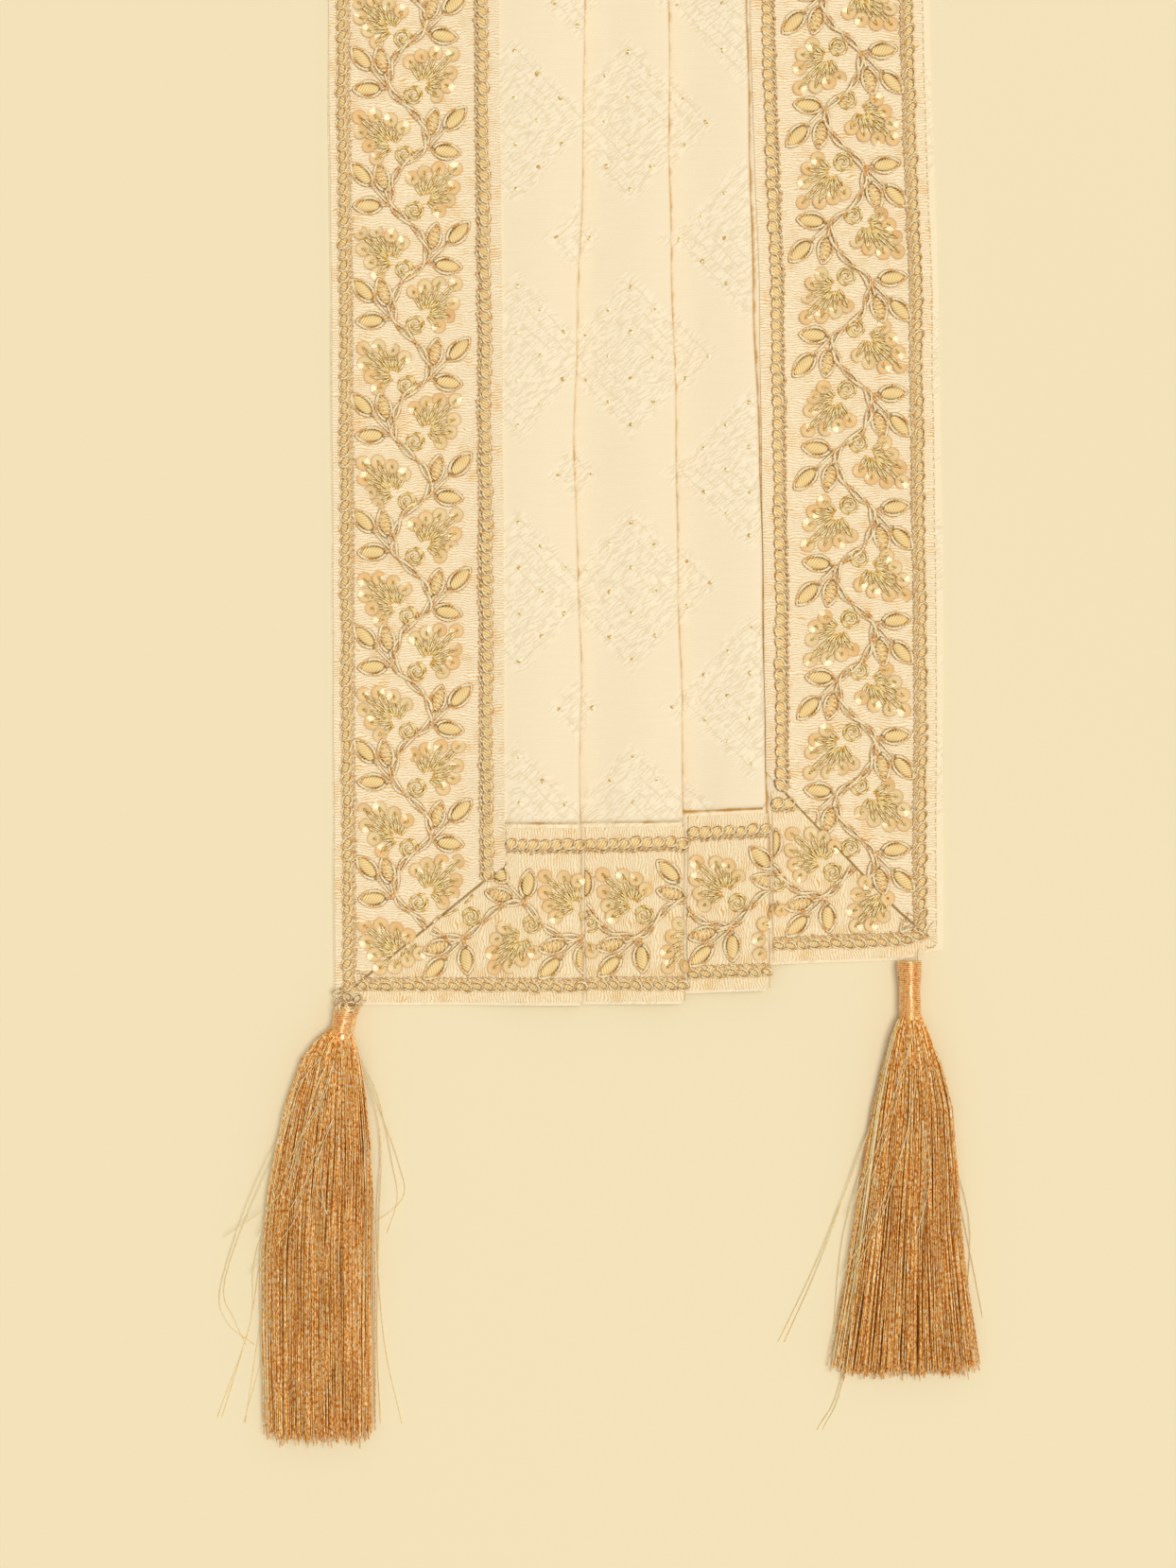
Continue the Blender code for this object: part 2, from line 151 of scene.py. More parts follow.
# Lace band: width of a braid and of the field, and the margin inside the inner braid
BRAID = 5.2 * MM
FIELD = 40.8 * MM
INNER_MARGIN = 3.2 * MM
LAST_HEM_SHORT = 1.2 * MM
# Distance in from the cloth's edge to the lace's edge and to its outer braid
LACE_SETS = {
    "left": (0.6 * MM, 2.4 * MM),
    "right": (1.9 * MM, 4.7 * MM),
    "hem": (1.0 * MM, 4.0 * MM),
}
# Lace: its under side and its top above the cloth, and how far past a fold it starts
LACE_UNDER = 0.12 * MM
LACE_TOP = 0.62 * MM
LACE_TURN = 1.75 * MM
# How far lace follows a fold round before it is out of sight, past the crown
WRAP_MIDDLE = 0.6 * MM
LACE_WRAP = 3.4 * MM
THREAD_WRAP = 2.6 * MM

# One repeat of the embroidery, charted: all in mm as (s, t)
REPEAT = 38.1
OUTER_FLOWER = {
    "rose": (0.0, -2.8),
    "root": (2.8, -6.5),
    "tips": (
        (12.4, -17.4), (12.7, -12.4), (11.4, -7.5), (9.0, -3.5),
        (7.4, -17.0), (3.1, -14.6), (-0.9, -12.1),
    ),
}
INNER_FLOWER = {
    "rose": (20.1, 0.0),
    "root": (23.2, 3.3),
    "tips": (
        (30.6, -0.4), (32.4, 3.3), (33.7, 8.0), (33.7, 13.5),
        (27.2, 12.9), (22.9, 11.7), (19.5, 8.3),
    ),
}
# Junction of the stems, then for each leaf its middle, length, width and filling
INNER_SPRIG = (
    (2.2, 4.6),
    (
        ((11.1, 6.7), 9.5, 5.0, "ribbed"),
        ((12.0, 14.5), 10.0, 5.5, "satin"),
        ((1.5, 10.8), 9.4, 5.4, "satin"),
    ),
)
OUTER_SPRIG = (
    (21.9, -7.8),
    (
        ((31.2, -10.3), 9.5, 5.0, "ribbed"),
        ((31.8, -17.2), 9.6, 5.3, "satin"),
        ((21.3, -14.8), 9.4, 5.4, "satin"),
    ),
)
VINE = ((2.8, 4.0), (11.4, 2.7), (17.0, -2.8), (22.5, -7.2), (32.9, -4.9))

# Embroidery sizes
VINE_CORD = 0.57 * MM
VINE_HALF_GAP = 0.84 * MM
VINE_TWIST = 13 * MM
LEAF_CORD = 0.54 * MM
PETAL_THREAD = 0.42 * MM
PETAL_HALF_GAP = 0.64 * MM
ROSE_RADIUS = 2.8 * MM
ROSE_TURNS = 2.1
BRAID_PITCH = 3.6 * MM
DOT_STEP = (7.5 * MM, 7.6 * MM)
DOTS_FROM = 61 * MM
# How far the handwork wanders from the chart, at most twice this
HAND_WANDER = 0.22 * MM
# The jacquard's lozenges on the unfolded cloth: first middle and repeat
LATTICE_START = (61.8 * MM, 136.5 * MM)
LATTICE_REPEAT = (71.25 * MM, 77.5 * MM)

# Loops of braid over the left tassels' necks: x and distance from the hem (mm)
CORNER_LOOPS = ((-98, 4.2), (-97.4, 1.4), (-96.2, -0.6), (-94.6, 2.2), (-93.4, -0.4), (-91.6, 1.8))

# Where the fine embroidery ends, measured from either hem, and the cloth's steps
# along the stole before and after that
FINE_TO = 345 * MM
FINE_STEP = 5 * MM
COARSE_STEP = 20 * MM

# Running stitches: distance in from the right edge, and from one to the next
STITCH_LINE = 2.3 * MM
STITCH_STEP = 2.6 * MM
# Frayed ends: stretch, x and distance from the near hem (mm), spread, number
FRAYS = ((4, 91.5, 10.5, 1.7, 15), (1, -93.5, 5.0, 1.6, 4), (4, 96.0, 4.0, 1.2, 4))

# Tassels: x at the hem, hem draw-back, length and lean of the neck, and its radius at
# the hem and at its end (mm)
TASSEL_ROWS = {
    "left": (-94.8, 0.0, 8.9, -2.4, 4.2, 3.8),
    "right": (90.2, 14.9, 18.4, 0.3, 4.1, 3.5),
}
# Skirts: distance past the neck, sideways shift, half width, middle level, and height
# above and depth below that level (mm)
SKIRT_ROWS = {
    "left": (
        (8.4, -3.1, 9.7, 4.6, 4.3, 3.6),
        (37.2, -5.8, 15.8, 3.6, 5.6, 2.9),
        (72.0, -7.8, 18.2, 3.3, 5.2, 2.7),
        (133.0, -7.4, 17.8, 2.8, 4.0, 2.2),
    ),
    "right": (
        (6.9, 0.3, 6.9, 4.6, 4.2, 3.6),
        (30.0, 1.0, 13.0, 3.6, 5.4, 2.9),
        (70.0, -0.6, 17.4, 3.3, 5.2, 2.7),
        (117.0, -1.7, 24.0, 2.8, 3.8, 2.2),
    ),
}
NECK_LEVEL = 4.5 * MM
TASSEL_GAP = 0.3 * MM
# Turn from each thread of a skirt to the next, which spreads them evenly (radians)
GOLDEN_TURN = 2.39996
# Single threads that stray from a skirt: distance past the hem and x (mm)
STRAY_ROWS = {
    "left": (
        ((14, -96), (40, -108), (80, -124), (105, -131), (136, -137)),
        ((14, -97), (50, -121), (90, -135), (104, -134), (112, -129)),
        ((12, -93), (30, -86), (52, -79), (64, -80), (75, -87)),
        ((10, -94), (40, -85), (72, -82), (110, -84), (138, -83)),
        ((12, -98), (42, -115), (80, -122), (110, -125), (138, -127)),
    ),
    "right": (
        ((24, 89), (67, 73), (100, 60), (126, 50)),
        ((60, 84), (90, 76), (139, 68), (155, 60)),
        ((24, 90), (50, 100), (84, 108), (118, 113)),
        ((24, 89), (52, 81), (90, 71), (124, 67)),
    ),
}
# Single threads that lie across a skirt, in the same way
CROSSING_ROWS = {
    "left": (
        ((18, -99), (30, -104), (44, -110), (62, -119), (76, -125)),
        ((36, -99), (52, -105), (71, -114), (88, -123)),
        ((20, -102), (33, -107), (50, -112), (66, -116)),
        ((46, -103), (58, -104), (68, -102)),
        ((16, -103), (24, -109), (34, -115), (48, -117)),
    ),
    "right": (
        ((24, 91), (45, 86), (62, 80), (84, 72)),
        ((40, 92), (60, 88), (84, 80), (104, 70)),
        ((52, 94), (70, 96), (90, 93)),
    ),
}

# Starts of the random draws
SEEDS = {"creases": 7, "dots": 21, "braids": 31, "sequins": 41, "tassels": 51, "stitches": 61}

# Sheen of the embroidery's twisted cords
CORD_COAT = {"Coat_Weight": 0.2, "Coat_Roughness": 0.2, "Specular_IOR_Level": 0.25}

# Camera over the near hem, looking straight down
CAMERA_PLACE = (-10.6 * MM, -1027 * MM, 1224 * MM)
CAMERA_LENS = 85
CAMERA_SENSOR = 36
# Main light: the side that it comes from, and how wide it looks in degrees
KEY_FROM = (0.2, 0.03, 1.0)
KEY_SPREAD = 26


def ease(share):
    share = np.clip(share, 0.0, 1.0)
    return share * share * (3 - 2 * share)


def line_at(k, v):
    """x of the left edge (0), folds 1 to 3 or the right edge (4) along the stole."""
    waver = LINE_WAVER[k] * (np.sin(v / 0.021 + 2.1 * k) + 0.6 * np.sin(v / 0.0083 + k))
    return np.interp(v, LINES[:, 0], LINES[:, k + 1]) + waver


def from_hem(v):
    """Distance to the nearer hem."""
    return np.minimum(v, LENGTH - v)


def rise_share(v):
    """How much of a hem's draw-back is left at a distance along the stole."""
    return 1 - ease((from_hem(v) - RISE_KEEPS_TO) / (RISE_ENDS - RISE_KEEPS_TO))


def hem_rise(stretch, x, v):
    """How far a point of a stretch is drawn back along the stole near its hem."""
    left, right = line_at(stretch - 1, v), line_at(stretch, v)
    share = np.clip((x - left) / (right - left), 0.0, 1.0)
    return np.interp(share, RISE_KNEES, HEM_RISE[stretch]) * MM * rise_share(v)


def drawn_back(v, rise):
    """The place along the stole of a point whose hem is drawn back."""
    return np.where(v < LENGTH / 2, v + rise, v - rise)


def not_drawn_back(stretch, x, shown):
    """The distance along the cloth of a point that shows at a place along the stole."""
    v = shown + 0 * x
    for _ in range(DRAW_BACK_ROUNDS):
        rise = hem_rise(stretch, x, v)
        v = np.where(shown < LENGTH / 2, shown - rise, shown + rise)
    return v


def fold_shade(fold, past):
    """How deep in a fold's shade the next stretch is, at a distance past the fold."""
    depth = np.interp(past / MM, (0.0, 0.5, 1.2, 3.0, 6.0), (1.0, 0.72, 0.46, 0.26, 0.0))
    return depth * FOLD_DEPTHS[fold - 1]


def make_creases():
    """Short soft creases by the folds: x, v, slant, half length, half width, depth."""
    chance = random.Random(SEEDS["creases"])
    rows = []
    for number in range(CREASE_COUNT):
        fold = 1 + number % 3
        v = LENGTH * (number + chance.random()) / CREASE_COUNT
        at_fold = chance.random() < 0.6
        beside = chance.uniform(3, 8) if at_fold else chance.uniform(-24, 24)
        x = float(line_at(fold, v)) + beside * MM
        slant = math.radians(chance.uniform(28, 58) if at_fold else chance.uniform(5, 75))
        depth = chance.uniform(-0.75, -0.25) if at_fold else chance.uniform(-0.3, 0.3)
        rows.append((
            x, v, slant, chance.uniform(4, 10) * MM, chance.uniform(0.9, 2.0) * MM, depth * MM,
        ))
    return rows


CREASES = make_creases()


def unevenness(x, v):
    """Small rise and fall of cloth that lies on itself."""
    height = 0.16 * MM * np.sin(v / 0.031 + x / 0.017)
    height = height + 0.11 * MM * np.sin(v / 0.0137 - x / 0.023 + 1.3)
    height = height + 0.07 * MM * np.sin(v / 0.0071 + x / 0.0093 + 0.4)
    return height


def creasing(x, v):
    """Rise and fall of the short creases at a place on the pleats."""
    height = np.zeros(np.broadcast(x, v).shape)
    reach = 30 * MM
    middle = float(np.mean(v))
    for at_x, at_v, slant, half_length, half_width, depth in CREASES:
        if abs(at_v - middle) > reach:
            continue
        along = (x - at_x) * math.cos(slant) + (v - at_v) * math.sin(slant)
        across = -(x - at_x) * math.sin(slant) + (v - at_v) * math.cos(slant)
        height = height + depth * np.exp(-((along / half_length) ** 2 + (across / half_width) ** 2))
    return height * ease((x - CREASES_FROM) / CREASES_SOFTEN)


def cloth_top(stretch, x, v):
    """Level of the cloth's right side at a place on a stretch."""
    left, right = line_at(stretch - 1, v), line_at(stretch, v)
    if stretch == 1:
        share = ease((x - right - FIRST_RISE[0]) / (FIRST_RISE[1] - FIRST_RISE[0]))
        level = GROUND_TOP + (PLEAT_TOP - GROUND_TOP) * share
    elif stretch == 4:
        share = ease((x - left - LAST_FALL[0]) / (LAST_FALL[1] - LAST_FALL[0]))
        level = UNDERLAP_TOP + (GROUND_TOP - UNDERLAP_TOP) * share
    else:
        share = ease((x - left - PLEAT_RISE[0]) / (PLEAT_RISE[1] - PLEAT_RISE[0]))
        level = UNDERLAP_TOP + (PLEAT_TOP - UNDERLAP_TOP) * share
    if stretch < 4:
        rows = np.array(SWELL_ROWS) * MM
        swell = np.interp(from_hem(v), rows[:, 0], rows[:, 1])
        on_pleat = np.clip((level - GROUND_TOP - 0.1 * MM) / (PLEAT_TOP - UNDERLAP_TOP), 0, 1)
        level = level + swell * on_pleat
    return level + unevenness(x, v)


def to_frame(x, y, z):
    """Points in the part's frame from hem coordinates."""
    return np.stack(np.broadcast_arrays(x - CENTRE_X, y - CENTRE_Y, z), axis=-1)


def on_cloth(stretch, x, v, height):
    """Points above a stretch of cloth, carried round the fold at its right."""
    crown = line_at(stretch, v) - NOSE_RADIUS
    flat_x = np.minimum(x, crown) if stretch < 4 else x
    turn = (x - flat_x) / (NOSE_RADIUS + WRAP_MIDDLE)
    top = cloth_top(stretch, flat_x, v)
    radius = NOSE_RADIUS + height
    place_x = flat_x + radius * np.sin(turn)
    place_z = top - NOSE_RADIUS + radius * np.cos(turn)
    return to_frame(place_x, drawn_back(v, hem_rise(stretch, flat_x, v)), place_z)


def mitre_v(mitre, x):
    """Distance from the hem of a mitre line at x."""
    (outer_x, outer_v), (inner_x, inner_v) = mitre
    share = (x / MM - outer_x) / (inner_x - outer_x)
    return (outer_v + (inner_v - outer_v) * share) * MM


def mitre_x(mitre, v):
    """The x of a mitre line at a distance from the hem."""
    (outer_x, outer_v), (inner_x, inner_v) = mitre
    share = np.clip((v / MM - outer_v) / (inner_v - outer_v), 0.0, 1.0)
    return (outer_x + (inner_x - outer_x) * share) * MM


class Run:
    """One straight run of lace: a border, or a hem's part on one stretch."""

    def __init__(self, name, group, side, stretch, zero, pitch=REPEAT):
        self.name = name
        self.group = group
        self.side = side
        self.stretch = stretch
        self.zero = zero * MM
        self.pitch = pitch * MM
        self.sign = 1 if side in ("left", "far") else -1
        self.edge, self.braid = LACE_SETS[side if side in ("left", "right") else "hem"]
        self.middle = self.braid + BRAID + FIELD / 2
        self.inner_edge = self.braid + 2 * BRAID + FIELD + INNER_MARGIN
        if side not in ("left", "right") and stretch == 4:
            self.inner_edge -= LAST_HEM_SHORT

    def spot(self, s, t):
        """Hem coordinates x and v of a place on the run."""
        inward = t + self.middle
        if self.side == "left":
            v = self.zero + s
            return line_at(0, v) + inward, v
        if self.side == "right":
            shown = self.zero - s
            x = np.maximum(line_at(4, shown) - inward, line_at(3, shown) + 0.4 * MM)
            return x, not_drawn_back(self.stretch, x, shown)
        x = self.zero + self.sign * s
        return x, (inward if self.side == "near" else LENGTH - inward) + 0 * x

    def place(self, s, t, height):
        x, v = self.spot(s, t)
        return on_cloth(self.stretch, x, v, height)

    def limits(self, t, wrap=THREAD_WRAP):
        """Lowest and highest s of the run at a distance across it."""
        inward = t + self.middle
        if self.side in ("left", "right"):
            if self.side == "left":
                near = mitre_v(LEFT_MITRE, LINES[0, 1] + inward) + MITRE_GAP
            else:
                x = LINES[0, 5] - inward
                near = mitre_v(RIGHT_MITRE, x) + MITRE_GAP
                near = near + hem_rise(self.stretch, x, near)
            ends = (near - self.zero, LENGTH - near - self.zero)
            return ends if self.side == "left" else (-ends[1], -ends[0])
        v = inward if self.side == "near" else LENGTH - inward
        low = line_at(self.stretch - 1, v) + LACE_TURN
        high = line_at(self.stretch, v) - NOSE_RADIUS + wrap
        if self.stretch == 1:
            low = mitre_x(LEFT_MITRE, inward) + MITRE_GAP
        if self.stretch == 4:
            high = mitre_x(RIGHT_MITRE, inward) - MITRE_GAP
        ends = (low - self.zero, high - self.zero)
        return ends if self.sign > 0 else (-ends[1], -ends[0])

    def turn(self, s, t, height):
        """Rotation of something sewn there: X along the run, Z off the cloth."""
        step = 0.4 * MM
        along = self.place(s + step, t, height) - self.place(s - step, t, height)
        inwards = self.place(s, t + step, height) - self.place(s, t - step, height)
        off = Vector(np.cross(inwards, along)).normalized()
        along = Vector(along).normalized()
        side = off.cross(along)
        return Matrix((along, side, off)).transposed()


RUNS = [
    Run("left", "left", "left", 1, 280.6),
    Run("right", "right", "right", 4, 298.4, 37.7),
    Run("near_1", "near", "near", 1, -34.1),
    Run("near_2", "near", "near", 2, 23.1),
    Run("near_3", "near", "near", 3, 53.5),
    Run("near_4", "near", "near", 4, 85.2),
    Run("far_1", "far", "far", 1, -62.0),
    Run("far_2", "far", "far", 2, -8.5),
    Run("far_3", "far", "far", 3, 21.0),
    Run("far_4", "far", "far", 4, 84.0),
]
GROUPS = ("left", "right", "near", "far")


def runs_of(group):
    """The runs of lace whose embroidery is made together."""
    return [run for run in RUNS if run.group == group]


def repeats(run):
    """Numbers of the charted repeats that a run may hold."""
    ts = np.linspace(-run.middle, FIELD / 2, 9)
    low, high = run.limits(ts)
    first = math.floor(float(np.min(low)) / run.pitch) - 1
    last = math.ceil(float(np.max(high)) / run.pitch) + 1
    return range(first, last + 1)


def is_fine(run, s):
    """Whether a place on a run is near enough to a hem for the fine embroidery."""
    return bool(from_hem(run.spot(np.float64(s), np.float64(0.0))[1]) < FINE_TO)


def repeat_is_fine(run, number):
    """Whether the middle of a charted repeat is among the fine embroidery."""
    return is_fine(run, (number + 0.5) * run.pitch)


def smooth_path(points, steps, closed=False):
    """A soft curve through a few points, as more points."""
    points = np.asarray(points, float)
    if closed:
        padded = np.vstack([points[-1], points, points[0], points[1]])
    else:
        padded = np.vstack([2 * points[0] - points[1], points, 2 * points[-1] - points[-2]])
    made = []
    for k in range(len(padded) - 3):
        a, b, c, d = padded[k:k + 4]
        for step in range(steps):
            share = step / steps
            made.append(0.5 * (
                2 * b + (c - a) * share + (2 * a - 5 * b + 4 * c - d) * share ** 2
                + (3 * b - a - 3 * c + d) * share ** 3
            ))
    if not closed:
        made.append(points[-1])
    return np.array(made)


class Threads:
    """Paths of threads in the part's frame, with a radius for each point."""

    def __init__(self):
        self.points = []
        self.edges = []
        self.radii = []
        self.count = 0

    def add(self, points, radius, closed=False):
        number = len(points)
        self.points.append(points)
        self.radii.append(np.broadcast_to(radius, number))
        for k in range(number - 1):
            self.edges.append((self.count + k, self.count + k + 1))
        if closed:
            self.edges.append((self.count + number - 1, self.count))
        self.count += number

    def sew(self, run, path, radius, closed=False):
        """Adds the parts of a path (s, t, h) that lie on a run of lace."""
        path = np.asarray(path, float)
        low, high = run.limits(path[:, 1])
        inside = (path[:, 0] >= low) & (path[:, 0] <= high)
        if inside.all():
            self.add(run.place(*path.T), radius, closed)
            return
        if closed and inside.any():
            start = int(np.argmin(inside))
            path, inside = np.roll(path, -start, axis=0), np.roll(inside, -start)
        piece = []
        for point, keep in zip(list(path) + [None], list(inside) + [False]):
            if keep:
                piece.append(point)
                continue
            if len(piece) > 1:
                self.add(run.place(*np.array(piece).T), radius)
            piece = []


def path_mesh(name, threads):
    """Thread paths as a mesh of edges that carries each point's radius."""
    mesh = bpy.data.meshes.new(name)
    mesh.from_pydata(np.concatenate(threads.points).tolist(), threads.edges, [])
    radius = mesh.attributes.new("thread_radius", "FLOAT", "POINT")
    radius.data.foreach_set("value", np.concatenate(threads.radii).astype(np.float32))
    return mesh


def spot_mesh(name, spots):
    """Places for small repeated things, with their turn and size."""
    mesh = bpy.data.meshes.new(name)
    mesh.from_pydata([tuple(place) for place, turn, size in spots], [], [])
    mesh.attributes.new("turn", "FLOAT_VECTOR", "POINT")
    mesh.attributes.new("size", "FLOAT", "POINT")
    turns = np.array([turn.to_euler() for place, turn, size in spots], np.float32)
    sizes = np.array([size for place, turn, size in spots], np.float32)
    mesh.attributes["turn"].data.foreach_set("vector", turns.ravel())
    mesh.attributes["size"].data.foreach_set("value", sizes)
    return mesh


def new_tree(name, inputs):
    """An empty geometry tree with its named inputs and one geometry output."""
    tree = bpy.data.node_groups.new(name, "GeometryNodeTree")
    tree.interface.new_socket("Geometry", in_out="OUTPUT", socket_type="NodeSocketGeometry")
    tree.interface.new_socket("Geometry", in_out="INPUT", socket_type="NodeSocketGeometry")
    for label, kind, default in inputs:
        socket = tree.interface.new_socket(label, in_out="INPUT", socket_type=kind)
        if default is not None:
            socket.default_value = default
    return tree, tree.nodes.new("NodeGroupInput"), tree.nodes.new("NodeGroupOutput")


def named_value(tree, name, data_type="FLOAT"):
    node = tree.nodes.new("GeometryNodeInputNamedAttribute")
    node.data_type = data_type
    node.inputs["Name"].default_value = name
    return node.outputs["Attribute"]


def sized_by(tree, name, factor):
    """A stored value times one of the tree's inputs."""
    size = tree.nodes.new("ShaderNodeMath")
    size.operation = "MULTIPLY"
    tree.links.new(named_value(tree, name), size.inputs[0])
    tree.links.new(factor, size.inputs[1])
    return size.outputs[0]


def end_tree(tree, given, result, made):
    """Makes what a tree has built real, gives it its finish and hands it out."""
    link = tree.links.new
    realize = tree.nodes.new("GeometryNodeRealizeInstances")
    link(made, realize.inputs["Geometry"])
    finish = tree.nodes.new("GeometryNodeSetMaterial")
    link(realize.outputs["Geometry"], finish.inputs["Geometry"])
    link(given.outputs["Finish"], finish.inputs["Material"])
    link(finish.outputs["Geometry"], result.inputs["Geometry"])


def build_thread_tree():
    """Turns paths into round threads with a pattern map along and round them."""
    tree, given, result = new_tree("threads_on_paths", (
        ("Sides", "NodeSocketInt", 4),
        ("Thickness", "NodeSocketFloat", 1.0),
        ("Finish", "NodeSocketMaterial", None),
    ))
    link = tree.links.new
    curve = tree.nodes.new("GeometryNodeMeshToCurve")
    link(given.outputs["Geometry"], curve.inputs["Mesh"])
    upright = tree.nodes.new("GeometryNodeSetCurveNormal")
    upright.mode = "Z_UP"
    link(curve.outputs["Curve"], upright.inputs["Curve"])
    along = tree.nodes.new("GeometryNodeSplineParameter")
    keep_along = tree.nodes.new("GeometryNodeCaptureAttribute")
    keep_along.capture_items.new("FLOAT", "Along")
    link(upright.outputs["Curve"], keep_along.inputs["Geometry"])
    link(along.outputs["Length"], keep_along.inputs["Along"])
    ring = tree.nodes.new("GeometryNodeCurvePrimitiveCircle")
    ring.inputs["Radius"].default_value = 1.0
    link(given.outputs["Sides"], ring.inputs["Resolution"])
    around = tree.nodes.new("GeometryNodeSplineParameter")
    keep_around = tree.nodes.new("GeometryNodeCaptureAttribute")
    keep_around.capture_items.new("FLOAT", "Around")
    link(ring.outputs["Curve"], keep_around.inputs["Geometry"])
    link(around.outputs["Factor"], keep_around.inputs["Around"])
    size = sized_by(tree, "thread_radius", given.outputs["Thickness"])
    sweep = tree.nodes.new("GeometryNodeCurveToMesh")
    sweep.inputs["Fill Caps"].default_value = True
    link(keep_along.outputs["Geometry"], sweep.inputs["Curve"])
    link(keep_around.outputs["Geometry"], sweep.inputs["Profile Curve"])
    link(size, sweep.inputs["Scale"])
    pair = tree.nodes.new("ShaderNodeCombineXYZ")
    link(keep_along.outputs["Along"], pair.inputs["X"])
    link(keep_around.outputs["Around"], pair.inputs["Y"])
    store = tree.nodes.new("GeometryNodeStoreNamedAttribute")
    store.data_type = "FLOAT2"
    store.domain = "CORNER"
    store.inputs["Name"].default_value = "UVMap"
    link(sweep.outputs["Mesh"], store.inputs["Geometry"])
    link(pair.outputs["Vector"], store.inputs["Value"])
    smooth = tree.nodes.new("GeometryNodeSetShadeSmooth")
    link(store.outputs["Geometry"], smooth.inputs["Geometry"])
    end_tree(tree, given, result, smooth.outputs["Geometry"])
    return tree


def build_spot_tree():
    """Sets one small shape on every point, turned and sized by the point."""
    tree, given, result = new_tree("shapes_on_points", (
        ("Shape", "NodeSocketObject", None),
        ("Scale", "NodeSocketFloat", 1.0),
        ("Finish", "NodeSocketMaterial", None),
    ))
    link = tree.links.new
    shape = tree.nodes.new("GeometryNodeObjectInfo")
    shape.inputs["As Instance"].default_value = True
    link(given.outputs["Shape"], shape.inputs["Object"])
    turn = tree.nodes.new("FunctionNodeEulerToRotation")
    link(named_value(tree, "turn", "FLOAT_VECTOR"), turn.inputs["Euler"])
    size = sized_by(tree, "size", given.outputs["Scale"])
    spread = tree.nodes.new("GeometryNodeInstanceOnPoints")
    link(given.outputs["Geometry"], spread.inputs["Points"])
    link(shape.outputs["Geometry"], spread.inputs["Instance"])
    link(turn.outputs["Rotation"], spread.inputs["Rotation"])
    link(size, spread.inputs["Scale"])
    end_tree(tree, given, result, spread.outputs["Instances"])
    return tree


def tree_named(name, build):
    """A geometry tree, built the first time that it is asked for."""
    return bpy.data.node_groups.get(name) or build()


def set_out(name, mesh):
    """A piece in the scene's collection."""
    piece = bpy.data.objects.new(name, mesh)
    bpy.context.scene.collection.objects.link(piece)
    return piece


def made_by_tree(name, mesh, tree, values):
    """A plain piece from what a tree makes of a mesh."""
    guide = set_out(name + "_guide", mesh)
    modifier = guide.modifiers.new("made", "NODES")
    modifier.node_group = tree
    for item in tree.interface.items_tree:
        if item.in_out == "INPUT" and item.name in values:
            modifier[item.identifier] = values[item.name]
    bpy.context.view_layer.update()
    depsgraph = bpy.context.evaluated_depsgraph_get()
    made = bpy.data.meshes.new_from_object(guide.evaluated_get(depsgraph))
    made.name = name
    made.materials.clear()
    made.materials.append(values["Finish"])
    made.polygons.foreach_set("material_index", np.zeros(len(made.polygons), np.int32))
    bpy.data.objects.remove(guide)
    bpy.data.meshes.remove(mesh)
    return set_out(name, made)


def thread_piece(name, threads, sides, finish):
    tree = tree_named("threads_on_paths", build_thread_tree)
    values = {"Sides": sides, "Thickness": 1.0, "Finish": finish}
    return made_by_tree(name, path_mesh(name + "_paths", threads), tree, values)


def spot_piece(name, spots, shape, finish):
    tree = tree_named("shapes_on_points", build_spot_tree)
    values = {"Shape": shape, "Scale": 1.0, "Finish": finish}
    return made_by_tree(name, spot_mesh(name + "_spots", spots), tree, values)


def join_pieces(name, parts):
    """Joins plain pieces of one finish into one piece."""
    mesh = bpy.data.meshes.new(name)
    bm = bmesh.new()
    for part in parts:
        bm.from_mesh(part.data)
    bm.to_mesh(mesh)
    bm.free()
    mesh.materials.append(parts[0].data.materials[0])
    for part in parts:
        old = part.data
        bpy.data.objects.remove(part)
        bpy.data.meshes.remove(old)
    return set_out(name, mesh)


def rim_of(index):
    """The outer points of a grid of point numbers, in order."""
    return np.concatenate([index[:, 0], index[-1, 1:], index[-2::-1, -1], index[0, -2:0:-1]])


def slab_mesh(name, top, under, uv):
    """A closed thin shell between two grids of points, with a pattern map."""
    rows, columns = top.shape[:2]
    number = rows * columns
    index = np.arange(number).reshape(rows, columns)
    a, b = index[:-1, :-1].ravel(), index[1:, :-1].ravel()
    c, d = index[1:, 1:].ravel(), index[:-1, 1:].ravel()
    upper = np.stack([a, b, c, d], axis=1)
    lower = np.stack([a, d, c, b], axis=1) + number
    ring = rim_of(index)
    following = np.roll(ring, -1)
    rim = np.stack([following, ring, ring + number, following + number], axis=1)
    faces = np.concatenate([upper, lower, rim])
    middle_row, middle_column = rows // 2, columns // 2
    corner = top[middle_row, middle_column]
    down = top[middle_row - 1, middle_column] - corner
    across = top[middle_row, middle_column - 1] - corner
    outward = np.dot(np.cross(down, across), corner - under[middle_row, middle_column])
    if outward > 0:
        faces = faces[:, ::-1]
    mesh = bpy.data.meshes.new(name)
    points = np.concatenate([top.reshape(-1, 3), under.reshape(-1, 3)])
    mesh.from_pydata(points.tolist(), [], faces.tolist())
    layer = mesh.uv_layers.new(name="UVMap")
    corners = np.zeros(len(mesh.loops), np.int32)
    mesh.loops.foreach_get("vertex_index", corners)
    both = np.concatenate([uv.reshape(-1, 2), uv.reshape(-1, 2)])
    layer.data.foreach_set("uv", both[corners].astype(np.float32).ravel())
    mesh.shade_smooth()
    mesh.set_sharp_from_angle(angle=math.radians(50))
    return mesh


